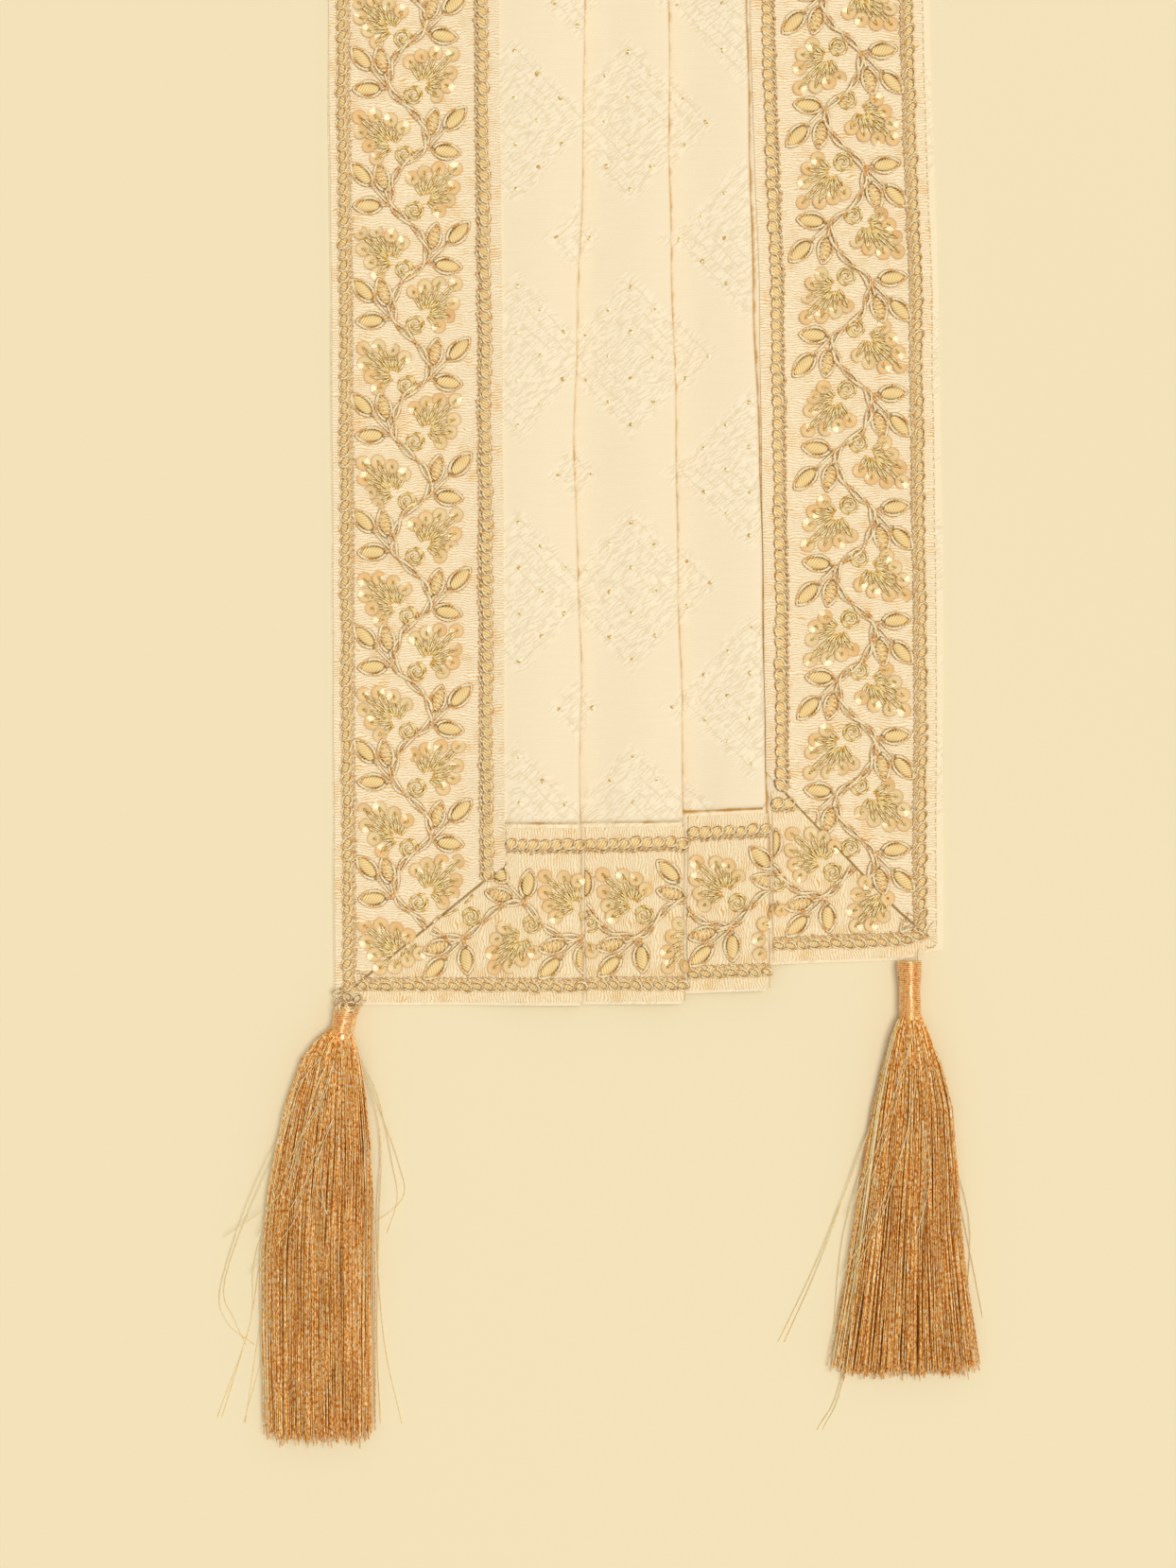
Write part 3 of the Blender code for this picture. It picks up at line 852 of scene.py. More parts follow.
def keep_shade(mesh, shade):
    """Stores the fold shade of a shell's grid on both of its faces."""
    kept = mesh.attributes.new("fold_shade", "FLOAT", "POINT")
    kept.data.foreach_set("value", np.tile(shade.ravel(), 2).astype(np.float32))


def link_piece(name, mesh, finish):
    mesh.materials.clear()
    mesh.materials.append(finish)
    return set_out(name, mesh)


def settle(piece):
    """Makes a finished piece ride on the stole."""
    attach(piece, BODY)
    return piece


class Shader:
    """Short calls for building the nodes of one finish."""

    def __init__(self, name, roughness, metallic=0.0, **sockets):
        self.material = bpy.data.materials.new(name)
        self.material.use_nodes = True
        self.nodes = self.material.node_tree.nodes
        self.link = self.material.node_tree.links.new
        self.shader = self.nodes["Principled BSDF"]
        self.shader.inputs["Roughness"].default_value = roughness
        self.shader.inputs["Metallic"].default_value = metallic
        for label, value in sockets.items():
            self.shader.inputs[label.replace("_", " ")].default_value = value

    def put(self, value, socket):
        if isinstance(value, bpy.types.NodeSocket):
            self.link(value, socket)
        else:
            socket.default_value = value

    def math(self, operation, first, second=0.0, third=0.0):
        node = self.nodes.new("ShaderNodeMath")
        node.operation = operation
        for value, socket in zip((first, second, third), node.inputs):
            self.put(value, socket)
        return node.outputs[0]

    def uv(self):
        """The two parts of the piece's own pattern map, in metres."""
        node = self.nodes.new("ShaderNodeUVMap")
        node.uv_map = "UVMap"
        parts = self.nodes.new("ShaderNodeSeparateXYZ")
        self.link(node.outputs["UV"], parts.inputs["Vector"])
        return parts.outputs["X"], parts.outputs["Y"]

    def vector(self, x, y, z=0.0):
        node = self.nodes.new("ShaderNodeCombineXYZ")
        for value, socket in zip((x, y, z), node.inputs):
            self.put(value, socket)
        return node.outputs["Vector"]

    def place(self):
        return self.nodes.new("ShaderNodeTexCoord").outputs["Object"]

    def in_folds(self, flat, value, shade_colour):
        """A colour with golden brown painted shade where the cloth goes into a fold, unevenly."""
        node = self.nodes.new("ShaderNodeAttribute")
        node.attribute_name = "fold_shade"
        uneven = self.math("MULTIPLY_ADD", self.noise(flat, 170, 3), 1.3, -0.65)
        deep = self.math("ADD", node.outputs["Fac"], uneven)
        within = self.math("MULTIPLY", deep, self.ramp(node.outputs["Fac"], 0.02, 0.2))
        return self.mix(self.ramp(within, 0.6, 1.3), value, shade_colour)

    def noise(self, vector, scale, detail=2.0, roughness=0.5):
        node = self.nodes.new("ShaderNodeTexNoise")
        self.link(vector, node.inputs["Vector"])
        node.inputs["Scale"].default_value = scale
        node.inputs["Detail"].default_value = detail
        node.inputs["Roughness"].default_value = roughness
        return node.outputs["Fac"]

    def stripes(self, place, pitch):
        """Soft stripes, 0 to 1, across a direction measured in metres."""
        turned = self.math("SINE", self.math("MULTIPLY", place, 2 * math.pi / pitch))
        return self.math("MULTIPLY_ADD", turned, 0.5, 0.5)

    def ramp(self, share, low, high):
        """A share scaled so that low gives 0 and high gives 1."""
        node = self.nodes.new("ShaderNodeMapRange")
        node.interpolation_type = "SMOOTHSTEP"
        self.put(share, node.inputs["Value"])
        node.inputs["From Min"].default_value = low
        node.inputs["From Max"].default_value = high
        return node.outputs["Result"]

    def mix(self, share, first, second):
        node = self.nodes.new("ShaderNodeMix")
        node.data_type = "RGBA"
        self.put(share, node.inputs[0])
        for value, socket in ((first, node.inputs[6]), (second, node.inputs[7])):
            self.put(value if isinstance(value, bpy.types.NodeSocket) else (*value, 1), socket)
        return node.outputs[2]

    def colour(self, value):
        self.link(value, self.shader.inputs["Base Color"])

    def bump(self, height, distance, strength):
        node = self.nodes.new("ShaderNodeBump")
        node.inputs["Distance"].default_value = distance
        node.inputs["Strength"].default_value = strength
        self.link(height, node.inputs["Height"])
        self.link(node.outputs["Normal"], self.shader.inputs["Normal"])


def tinted(colour, factor):
    """A darker or lighter tone of a colour."""
    return tuple(min(1.0, part * factor) for part in colour)


def deepened(colour, factor):
    """A darker and fuller tone of a colour, as thread has in its own shade."""
    return tuple(min(1.0, factor * part ** 1.5) for part in colour)


def jacquard_finish(colour):
    """Ivory self-patterned weave: plain ground and half-drop lozenges of slanted,
    crinkled ridges, laid out on the unfolded cloth."""
    finish = Shader("ivory_jacquard_weave", 0.62, Sheen_Weight=0.15, Sheen_Roughness=0.4)
    u, v = finish.uv()
    flat = finish.vector(u, v)
    (first_u, first_v), (repeat_u, repeat_v) = LATTICE_START, LATTICE_REPEAT

    def from_middle(value, first, repeat):
        turns = finish.math("DIVIDE", finish.math("SUBTRACT", value, first), repeat)
        return finish.math("MULTIPLY", finish.math("PINGPONG", turns, 0.5), 2.0)

    sum_of_both = finish.math(
        "ADD", from_middle(u, first_u, repeat_u), from_middle(v, first_v, repeat_v)
    )
    off_lattice = finish.math("ABSOLUTE", finish.math("SUBTRACT", sum_of_both, 1.0))
    ragged = finish.math("MULTIPLY_ADD", finish.noise(flat, 160, 2), 0.2, -0.1)
    lozenge = finish.ramp(finish.math("ADD", off_lattice, ragged), 0.20, 0.34)
    angle = math.radians(STROKE_RISE)
    along = finish.math(
        "ADD", finish.math("MULTIPLY", u, math.cos(angle)), finish.math("MULTIPLY", v, math.sin(angle))
    )
    across = finish.math(
        "SUBTRACT", finish.math("MULTIPLY", v, math.cos(angle)),
        finish.math("MULTIPLY", u, math.sin(angle)),
    )
    bend = finish.math("MULTIPLY_ADD", finish.noise(flat, 150, 2), 3.0 * MM, -1.5 * MM)
    bent = finish.math("ADD", across, bend)
    strokes = finish.noise(finish.vector(finish.math("MULTIPLY", along, 0.13), bent), 1900, 2, 0.6)
    crinkle = finish.noise(flat, 1300, 2, 0.6)
    nested = finish.math("MULTIPLY_ADD", sum_of_both, 26.2 * MM, bend)
    lines = finish.ramp(finish.stripes(nested, 3.9 * MM), 0.86, 1.0)
    raised = finish.math("MULTIPLY_ADD", crinkle, 0.22, strokes)
    raised = finish.math("MULTIPLY_ADD", lines, -0.09, raised)
    raised = finish.ramp(raised, 0.43, 0.64)
    weft_bend = finish.math("MULTIPLY", finish.noise(flat, 210, 2), 0.8 * MM)
    weft = finish.stripes(finish.math("ADD", v, weft_bend), 0.95 * MM)
    slubs = finish.noise(finish.vector(finish.math("MULTIPLY", u, 0.12), v), 700, 2)
    grain = finish.noise(flat, 2200, 1)
    plain = finish.math("MULTIPLY_ADD", weft, 0.1, finish.math("MULTIPLY", slubs, 0.4))
    even = finish.math("MULTIPLY_ADD", grain, 0.7, finish.math("SUBTRACT", plain, 0.16))
    height = finish.math(
        "ADD", finish.math("MULTIPLY", raised, lozenge),
        finish.math("MULTIPLY", even, finish.math("SUBTRACT", 1.0, lozenge)),
    )
    # Colour follows the weave's height: painted shade low and painted highlight high, also in the plain
    # ground's grain
    smooth, hollow_shade, crest_highlight = (
        tuple(part * share for part, share in zip(colour, shares)) for shares in WEAVE_TONES
    )
    plain_tone = finish.mix(even, smooth, crest_highlight)
    tone = finish.mix(lozenge, plain_tone, finish.mix(raised, hollow_shade, crest_highlight))
    # Painted shade, golden brown, deep in the folds and along the swell's foot
    finish.colour(finish.in_folds(flat, tone, FOLD_SHADE_COLOUR))
    finish.bump(height, 0.10 * MM, 0.85)
    return finish.material


def lace_finish(name, colour, shade):
    """Lace ground: fine ribs across the run, wavy where the embroidery pulls them, with painted shade
    between the ribs, in random patches and in the folds.
    """
    finish = Shader(name, 0.7, Sheen_Weight=0.1, Sheen_Roughness=0.5)
    s, t = finish.uv()
    flat = finish.vector(s, t)
    pulled = finish.math("MULTIPLY_ADD", finish.noise(flat, 180, 3), 3.6 * MM, -1.8 * MM)
    ribs = finish.stripes(finish.math("ADD", s, pulled), 0.86 * MM)
    threads = finish.stripes(t, 0.55 * MM)
    grain = finish.noise(flat, 900, 2)
    height = finish.math("MULTIPLY_ADD", threads, 0.16, ribs)
    height = finish.math("MULTIPLY_ADD", grain, 0.9, height)
    # Random patches of painted shade, standing in for the shade round the embroidery
    patchy_shade = finish.ramp(finish.noise(flat, 130, 3), 0.48, 0.78)
    ribbed = finish.math("MULTIPLY_ADD", patchy_shade, -0.45, height)
    tone = finish.mix(finish.ramp(ribbed, 0.15, 1.2), shade, colour)
    finish.colour(finish.in_folds(flat, tone, FOLD_SHADE_COLOUR))
    finish.bump(height, 0.11 * MM, 0.8)
    return finish.material


def cord_finish(name, light, dark, pitch, lay, metallic, roughness, **sockets):
    """Twisted thread: fine strands wound along each cord's own path, and a light and
    a dark side that wind round it once in each lay."""
    finish = Shader(name, roughness, metallic, **sockets)
    along, around = finish.uv()
    strands = finish.stripes(finish.math("MULTIPLY_ADD", around, pitch, along), pitch)
    sides = finish.stripes(finish.math("MULTIPLY_ADD", around, lay, along), lay)
    flecks = finish.noise(finish.place(), 650, 2, 0.6)
    # Lighter on the strands, darker in their grooves as painted shade; the light and dark sides are the
    # thread's own two colours
    both = finish.math("MULTIPLY_ADD", strands, 0.25, finish.math("MULTIPLY", sides, 0.55))
    share = finish.math("MULTIPLY_ADD", flecks, 0.8, both)
    finish.colour(finish.mix(finish.ramp(share, 0.42, 0.92), dark, light))
    finish.bump(strands, 0.13 * MM, 0.9)
    return finish.material


def satin_finish(name, light, dark):
    """Satin stitch: close threads across a leaf."""
    finish = Shader(name, 0.42, 0.15)
    along, across = finish.uv()
    slanted = finish.math("MULTIPLY_ADD", across, 0.6, along)
    rows = finish.stripes(slanted, 0.95 * MM)
    flecks = finish.noise(finish.place(), 520, 2, 0.6)
    # Darker between the rows of stitches, as painted shade
    share = finish.math("MULTIPLY_ADD", flecks, 0.6, finish.math("MULTIPLY", rows, 0.7))
    finish.colour(finish.mix(finish.ramp(share, 0.25, 0.95), dark, light))
    finish.bump(rows, 0.2 * MM, 0.8)
    return finish.material


def dot_finish(colour):
    """Loose metal thread with painted highlights on parts of each woven dot."""
    finish = Shader("woven_gold", 0.35, 0.2)
    flecks = finish.noise(finish.place(), 1100, 1)
    # Painted highlight tone of the flecks
    light = tuple(min(1.0, part + 0.5) for part in colour)
    finish.colour(finish.mix(finish.ramp(flecks, 0.44, 0.52), colour, light))
    return finish.material


def sequin_finish(colour):
    """Clear pale gold film, deeper gold at the rim."""
    finish = Shader("sequin_film", 0.12, Alpha=0.86, Coat_Weight=0.25, Coat_Roughness=0.05)
    out = finish.uv()[0]
    tone = finish.noise(finish.place(), 170, 2)
    clear = finish.mix(finish.ramp(tone, 0.35, 0.65), deepened(colour, 1.0), tinted(colour, 1.08))
    finish.colour(finish.mix(finish.ramp(out, 0.74, 0.98), clear, deepened(colour, 0.82)))
    return finish.material


def tassel_finish(name, light, middle, dark, roughness=0.38, metallic=0.15, crimped=0.2, **sockets):
    """Glossy crimped metallic thread: short glints along it painted as highlights, painted shade
    between them, some threads darker.
    """
    finish = Shader(name, roughness, metallic, **sockets)
    parts = finish.nodes.new("ShaderNodeSeparateXYZ")
    finish.link(finish.place(), parts.inputs["Vector"])
    x, y, z = parts.outputs
    lengthwise = finish.vector(x, finish.math("MULTIPLY", y, 0.6), z)
    crimp = finish.noise(lengthwise, 1500, 2, 0.6)
    strand = finish.noise(finish.vector(x, finish.math("MULTIPLY", y, 0.03), z), 900, 1)
    share = finish.math("MULTIPLY_ADD", crimp, 0.8, finish.math("MULTIPLY", strand, 0.2))
    low = finish.mix(finish.ramp(share, 0.40, 0.50), dark, middle)
    finish.colour(finish.mix(finish.ramp(share, 0.54, 0.60), low, light))
    finish.bump(crimp, crimped * MM, 0.9)
    return finish.material


def floor_finish(colour):
    """Smooth pale paper."""
    finish = Shader("pale_floor", 0.9)
    tone = finish.noise(finish.place(), 1.6, 1)
    finish.colour(finish.mix(finish.ramp(tone, 0.3, 0.7), tinted(colour, 0.99), colour))
    return finish.material


def colour_setting(label, words, default):
    return bpy.props.FloatVectorProperty(
        name=label, description=words, subtype="COLOR", size=3, min=0, max=1, default=default,
    )


def length_setting(label, words, default):
    return bpy.props.FloatProperty(
        name=label, description=words, subtype="DISTANCE", unit="LENGTH", min=0.0, default=default,
        precision=5,
    )


class StoleCloth(bpy.types.PropertyGroup):
    """Sizes and colours of the jacquard and the lace ground."""

    ivory: colour_setting("Ivory", "Colour of the jacquard", (0.945, 0.86, 0.71))
    dot: colour_setting("Woven dots", "Colour of the small woven gold dots", (0.66, 0.42, 0.16))
    lace: colour_setting("Lace", "Colour of the lace ground's ribs", (0.98, 0.915, 0.765))
    lace_shade: colour_setting("Lace shade", "Colour between the ribs", (0.83, 0.50, 0.15))
    hem_lace: colour_setting("Hem lace", "Colour of the hem lace's ribs", (0.97, 0.88, 0.69))
    thick: length_setting("Cloth thickness", "Thickness of the jacquard", CLOTH_THICK)


class StoleEmbroidery(bpy.types.PropertyGroup):
    """Sizes and colours of the thread work and the sequins."""

    silver: colour_setting("Silver thread", "Light strand of the cords", (1.0, 0.90, 0.66))
    brown: colour_setting("Brown thread", "Dark strand of the cords", (0.70, 0.32, 0.05))
    gold: colour_setting("Gold thread", "Light tone of the gold thread", (1.0, 0.87, 0.48))
    old_gold: colour_setting("Gold shade", "Dark tone of the gold thread", (0.62, 0.30, 0.02))
    satin: colour_setting("Satin", "Colour of the leaves' filling", (1.0, 0.80, 0.45))
    sequin: colour_setting("Sequins", "Colour of the sequins", (1.0, 0.77, 0.48))
    sequin_size: length_setting("Sequin", "Diameter of a sequin", 5.0 * MM)


class StoleTassels(bpy.types.PropertyGroup):
    """Sizes and colours of the tassels."""

    copper: colour_setting("Copper", "Main colour of the tassel thread", (1.0, 0.56, 0.13))
    # Glint and shade are painted highlight and painted shade tones along the crimps
    glint: colour_setting("Glint", "Light tone of the tassel thread", (1.0, 0.91, 0.68))
    shade: colour_setting("Shade", "Dark tone of the tassel thread", (0.62, 0.16, 0.0))
    thread: length_setting("Thread", "Diameter of a tassel thread", 0.42 * MM)
    count: bpy.props.IntProperty(
        name="Threads", description="Threads in one tassel", min=20, max=900, default=880
    )


class StoleStage(bpy.types.PropertyGroup):
    """The floor and the light."""

    floor: colour_setting("Floor", "Colour of the floor", (0.90, 0.822, 0.63))
    key: bpy.props.FloatProperty(
        name="Key light", description="Strength of the main light", min=0, max=20, default=1.62
    )
    light: colour_setting("Light", "Colour of the light", (1.0, 0.93, 0.78))
    fill: bpy.props.FloatProperty(
        name="Fill", description="Strength of the light all round", min=0, max=5, default=0.5
    )


class STOLE_OT_stage(bpy.types.Operator):
    """Makes the floor, the lights and the camera"""

    bl_idname = "stole.stage"
    bl_label = "Stage"

    def execute(self, context):
        settings = context.scene.stole_stage
        scene = context.scene
        scene.view_settings.view_transform = "Standard"
        half = 6.0
        mesh = bpy.data.meshes.new("floor")
        mesh.from_pydata(
            [(-half, -half, 0), (half, -half, 0), (half, half, 0), (-half, half, 0)],
            [], [(0, 1, 2, 3)],
        )
        floor = link_piece("floor", mesh, floor_finish(tuple(settings.floor)))
        world = bpy.data.worlds.new("soft_room")
        world.use_nodes = True
        world.node_tree.nodes["Background"].inputs["Color"].default_value = (*settings.light, 1)
        world.node_tree.nodes["Background"].inputs["Strength"].default_value = settings.fill
        scene.world = world
        data = bpy.data.lights.new("key", "SUN")
        data.energy = settings.key
        data.color = settings.light
        data.angle = math.radians(KEY_SPREAD)
        light = bpy.data.objects.new("key", data)
        light.rotation_euler = Vector(KEY_FROM).to_track_quat("Z", "Y").to_euler()
        scene.collection.objects.link(light)
        camera = bpy.data.cameras.new("camera")
        camera.lens = CAMERA_LENS
        camera.sensor_fit = "VERTICAL"
        camera.sensor_height = CAMERA_SENSOR
        camera.clip_end = 50
        holder = bpy.data.objects.new("camera", camera)
        holder.location = CAMERA_PLACE
        scene.collection.objects.link(holder)
        scene.camera = holder
        return {"FINISHED"}


def along_stations():
    """Distances along the stole, close together near both hems and at the swell."""
    near = np.arange(0.0, FINE_TO, FINE_STEP)
    foot = np.array(SWELL_STATIONS) * MM
    near = near[np.all(np.abs(near[:, None] - foot) > 0.8 * MM, axis=1)]
    near = np.sort(np.concatenate([near, foot]))
    middle = np.arange(FINE_TO, LENGTH - FINE_TO, COARSE_STEP)
    return np.concatenate([near, middle, LENGTH - near[::-1]])


def ground_row(v):
    """Middle line of the folded cloth across the stole at v: x, z, u, draw-back and
    fold shade."""
    xs, zs, us, rises, shades = [], [], [], [], []
    half = CLOTH_THICK / 2
    unfolded = 0.0
    last_rise = 0.0
    for stretch in (1, 2, 3, 4):
        left, right = float(line_at(stretch - 1, v)), float(line_at(stretch, v))
        if stretch == 1:
            across = np.concatenate([
                left + np.array([0.0, 0.7, 1.6, 4.0, 8.0]) * MM,
                np.linspace(left + 14 * MM, right - 30 * MM, 9),
                np.linspace(right - 25.5 * MM, right - NOSE_RADIUS, 17),
            ])
        elif stretch == 4:
            across = np.concatenate([
                left + np.array([0.0, 0.5, 1.2, 2.4]) * MM,
                np.linspace(left + 4 * MM, left + 13 * MM, 6),
                np.linspace(left + 18 * MM, right - 6 * MM, 9),
                right - np.array([2.6, 1.2, 0.5, 0.0]) * MM,
            ])
        else:
            crown = right - NOSE_RADIUS
            across = np.concatenate([
                left + np.array([0.0, 0.5, 1.2, 2.0]) * MM,
                np.linspace(left + 3 * MM, crown - 3 * MM, 16 if stretch == 2 else 13),
                crown - np.array([1.8, 0.8, 0.0]) * MM,
            ])
        level = cloth_top(stretch, across, v) - half
        if stretch < 4:
            level = level + creasing(across, v)
        if stretch == 1:
            level = level - (GROUND_TOP - CLOTH_THICK) * (1 - ease((across - left) / EDGE_CURVE))
        if stretch == 4:
            level = level - (GROUND_TOP - CLOTH_THICK) * (1 - ease((right - across) / EDGE_CURVE))
        xs.append(across)
        zs.append(level)
        us.append(unfolded + across - left)
        shade = fold_shade(stretch - 1, across - left) if stretch > 1 else 0 * across
        if stretch < 4:
            # Painted shade along the foot of the swell above the hem lace
            foot_shade = np.exp(-((from_hem(v) - SWELL_FOOT) / (0.7 * MM)) ** 2)
            shade = np.maximum(shade, foot_shade * FOLD_DEPTHS[stretch - 1])
        shades.append(shade)
        rise = hem_rise(stretch, across, v)
        rises.append(rise)
        unfolded += right - left
        last_rise = float(rise[-1])
        if stretch == 4:
            continue
        crown_z = float(level[-1]) - NOSE_RADIUS + half
        hidden = HIDDEN_WIDTHS[stretch - 1]
        reach = TURN_REACH[stretch - 1]
        bend_x, bend_z = hidden_bend(right, reach, crown_z, half)
        next_rise = float(hem_rise(stretch + 1, line_at(stretch, v), v))
        share = np.linspace(0, 1, len(bend_x) + 1)[1:]
        xs.append(bend_x)
        zs.append(bend_z)
        round_nose = us[-1][-1] + np.arange(1, 7) * 0.5 * MM
        last_hidden = unfolded + 2 * hidden + UNDERLAP_RUN[1]
        us.append(round_nose)
        us.append(np.linspace(round_nose[-1], last_hidden, len(bend_x) - 5)[1:])
        rises.append(last_rise + (next_rise - last_rise) * share)
        nose = np.array([0.0, 0.1, 0.5])
        shades.append(np.concatenate([nose, np.ones(len(bend_x) - 3)]) * FOLD_DEPTHS[stretch - 1])
        unfolded += 2 * hidden
    return [np.concatenate(part) for part in (xs, zs, us, rises, shades)]


def hidden_bend(fold, reach, crown_z, half):
    """Middle line from a fold's crown round it, back under the pleat, and out again."""
    radius = NOSE_RADIUS - half
    turns = np.radians([18, 42, 70, 100, 140, 180])
    xs = list(fold - NOSE_RADIUS + radius * np.sin(turns))
    zs = list(crown_z + radius * np.cos(turns))
    high, low = TURN_LEVELS
    turn_radius = (high - low) / 2
    turn_x = fold - reach + turn_radius
    nose_end = zs[-1]
    for share in (0.4, 1.0):
        xs.append(fold - NOSE_RADIUS + (turn_x - fold + NOSE_RADIUS) * share)
        zs.append(nose_end + (high - nose_end) * min(1.0, 2 * share))
    for degrees in (60, 120, 180):
        angle = math.radians(degrees)
        xs.append(turn_x - turn_radius * math.sin(angle))
        zs.append((high + low) / 2 + turn_radius * math.cos(angle))
    start, end = UNDERLAP_RUN
    for share in np.linspace(0, 1, 4):
        xs.append(fold + start + (end - start) * share)
        zs.append(low + (UNDERLAP_TOP - half - low) * float(ease(share)))
    return np.array(xs), np.array(zs)


class STOLE_OT_ground(bpy.types.Operator):
    """Makes the pleated jacquard panel as one folded cloth"""

    bl_idname = "stole.ground"
    bl_label = "Jacquard panel"

    def execute(self, context):
        settings = context.scene.stole_cloth
        stations = along_stations()
        rows = [ground_row(v) for v in stations]
        x, z, u, rise, shade = (np.array([row[part] for row in rows]) for part in range(5))
        v = stations[:, None] + 0 * x
        y = drawn_back(v, rise)
        step_x, step_z = np.gradient(x, axis=1), np.gradient(z, axis=1)
        size = np.hypot(step_x, step_z)
        off_x, off_z = -step_z / size * settings.thick / 2, step_x / size * settings.thick / 2
        top = to_frame(x + off_x, y, z + off_z)
        under = to_frame(x - off_x, y, np.maximum(z - off_z, 0.0))
        mesh = slab_mesh("jacquard_ground", top, under, np.stack([u, v], axis=-1))
        keep_shade(mesh, shade)
        piece = link_piece("jacquard_ground", mesh, jacquard_finish(tuple(settings.ivory)))
        settle(piece)
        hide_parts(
            "ground_left", "ground_pleat_2", "ground_pleat_3", "ground_right", "folded_layers"
        )
        return {"FINISHED"}


def lens_shape(name, radius, height, sides):
    """A small closed bump on a flat foot."""
    bm = bmesh.new()
    ring = []
    for k in range(sides):
        angle = 2 * math.pi * k / sides
        ring.append(bm.verts.new((radius * math.cos(angle), radius * math.sin(angle), 0)))
    crown = bm.verts.new((0, 0, height))
    for k in range(sides):
        bm.faces.new((ring[k], ring[(k + 1) % sides], crown))
    bm.faces.new(reversed(ring))
    return template(name, bm)


def template(name, bm):
    """A shape that a tree repeats, kept out of the scene's collection."""
    mesh = bpy.data.meshes.new(name)
    bm.to_mesh(mesh)
    bm.free()
    mesh.shade_flat()
    return bpy.data.objects.new(name, mesh)


def drop(shape):
    """Removes a template that has served."""
    mesh = shape.data
    bpy.data.objects.remove(shape)
    bpy.data.meshes.remove(mesh)


class STOLE_OT_dots(bpy.types.Operator):
    """Makes the small gold dots that are woven into the jacquard"""

    bl_idname = "stole.dots"
    bl_label = "Woven dots"

    def execute(self, context):
        settings = context.scene.stole_cloth
        chance = random.Random(SEEDS["dots"])
        (first_u, first_v), (repeat_u, repeat_v) = LATTICE_START, LATTICE_REPEAT
        spots = []
        across, along = 6, int(LENGTH / repeat_v) + 2
        for column in range(-1, 2 * across):
            for row in range(-2, along):
                middle_u = first_u + column * repeat_u / 2
                middle_v = first_v + (row + 0.5 * (column % 2)) * repeat_v
                for step, number in enumerate((1, 2, 3, 4, 3, 2, 1)):
                    for k in range(number):
                        u = middle_u + (2 * k - number + 1) * DOT_STEP[0]
                        v = middle_v + (step - 3) * DOT_STEP[1]
                        self.add_dot(spots, u, v, chance)
        shape = lens_shape("dot_shape", 0.9 * MM, 0.3 * MM, 6)
        finish = dot_finish(tuple(settings.dot))
        piece = spot_piece("woven_dots", spots, shape, finish)
        drop(shape)
        settle(piece)
        return {"FINISHED"}

    def add_dot(self, spots, u, v, chance):
        v += chance.uniform(-0.3, 0.3) * MM
        size = chance.uniform(0.8, 1.1)
        if not DOTS_FROM < v < LENGTH - DOTS_FROM:
            return
        start = 0.0
        for stretch in (1, 2, 3):
            left, right = float(line_at(stretch - 1, v)), float(line_at(stretch, v))
            x = left + u - start
            first = left + (58 * MM if stretch == 1 else 2.5 * MM)
            if first < x < right - 2 * MM:
                place = self.point(stretch, x, v)
                step = 0.5 * MM
                along = Vector(self.point(stretch, x, v + step) - self.point(stretch, x, v - step))
                side = Vector(self.point(stretch, x + step, v) - self.point(stretch, x - step, v))
                off = side.cross(along).normalized()
                along.normalize()
                turn = Matrix((along, off.cross(along), off)).transposed()
                spots.append((place, turn, size))
            start += right - left + 2 * HIDDEN_WIDTHS[stretch - 1]

    def point(self, stretch, x, v):
        made = on_cloth(stretch, np.float64(x), np.float64(v), np.float64(0.0))
        made[2] += float(creasing(np.float64(x), np.float64(v)))
        return made


def band_mesh(name, run, across, under, top, wrap):
    """A closed strip of a run, as wide as the places across, between two heights."""
    low, high = run.limits(across, wrap)
    if run.side in ("left", "right"):
        s = low + (high - low) * along_stations()[:, None] / LENGTH
    else:
        close = np.array([0.0, 0.6, 1.3, 2.2, 3.2, 4.4])[:, None] * MM
        close = close * np.minimum(1.0, (high - low) / (16 * MM))
        inner = np.linspace(0, 1, 24)[1:-1, None]
        width = high - low - 2 * close[-1]
        s = np.concatenate([low + close, low + close[-1] + width * inner, high - close[::-1]])
    t = across + 0 * s
    upper = run.place(s, t, top + 0 * s)
    lower = run.place(s, t, under + 0 * s)
    mesh = slab_mesh(name, upper, lower, np.stack([s, t], axis=-1))
    keep_shade(mesh, lace_shade(run, s, t))
    return mesh


def lace_shade(run, s, t):
    """How deep in the shade of the folds beside it each place of a hem's lace is."""
    shade = 0 * s
    if run.side in ("left", "right"):
        return shade
    x, v = run.spot(s, t)
    if run.stretch > 1:
        past = np.maximum(x - line_at(run.stretch - 1, v), 0.0)
        shade = fold_shade(run.stretch - 1, past)
    if run.stretch < 4:
        over = (x - line_at(run.stretch, v) + NOSE_RADIUS) / MM
        shade = np.maximum(shade, np.interp(over, (0.7, 2.4), (0.0, 1.1)))
    # Painted shade on stretch 3's lace beside fold 3, strongest some 20 mm from the hem
    if run.stretch == 3:
        beside = (x - line_at(3, v) + 2.2 * MM) / (2.6 * MM)
        shade_by_fold_3 = np.exp(-(beside ** 2) - ((from_hem(v) - 20 * MM) / (14 * MM)) ** 2)
        shade = np.maximum(shade, 0.95 * shade_by_fold_3)
    return shade


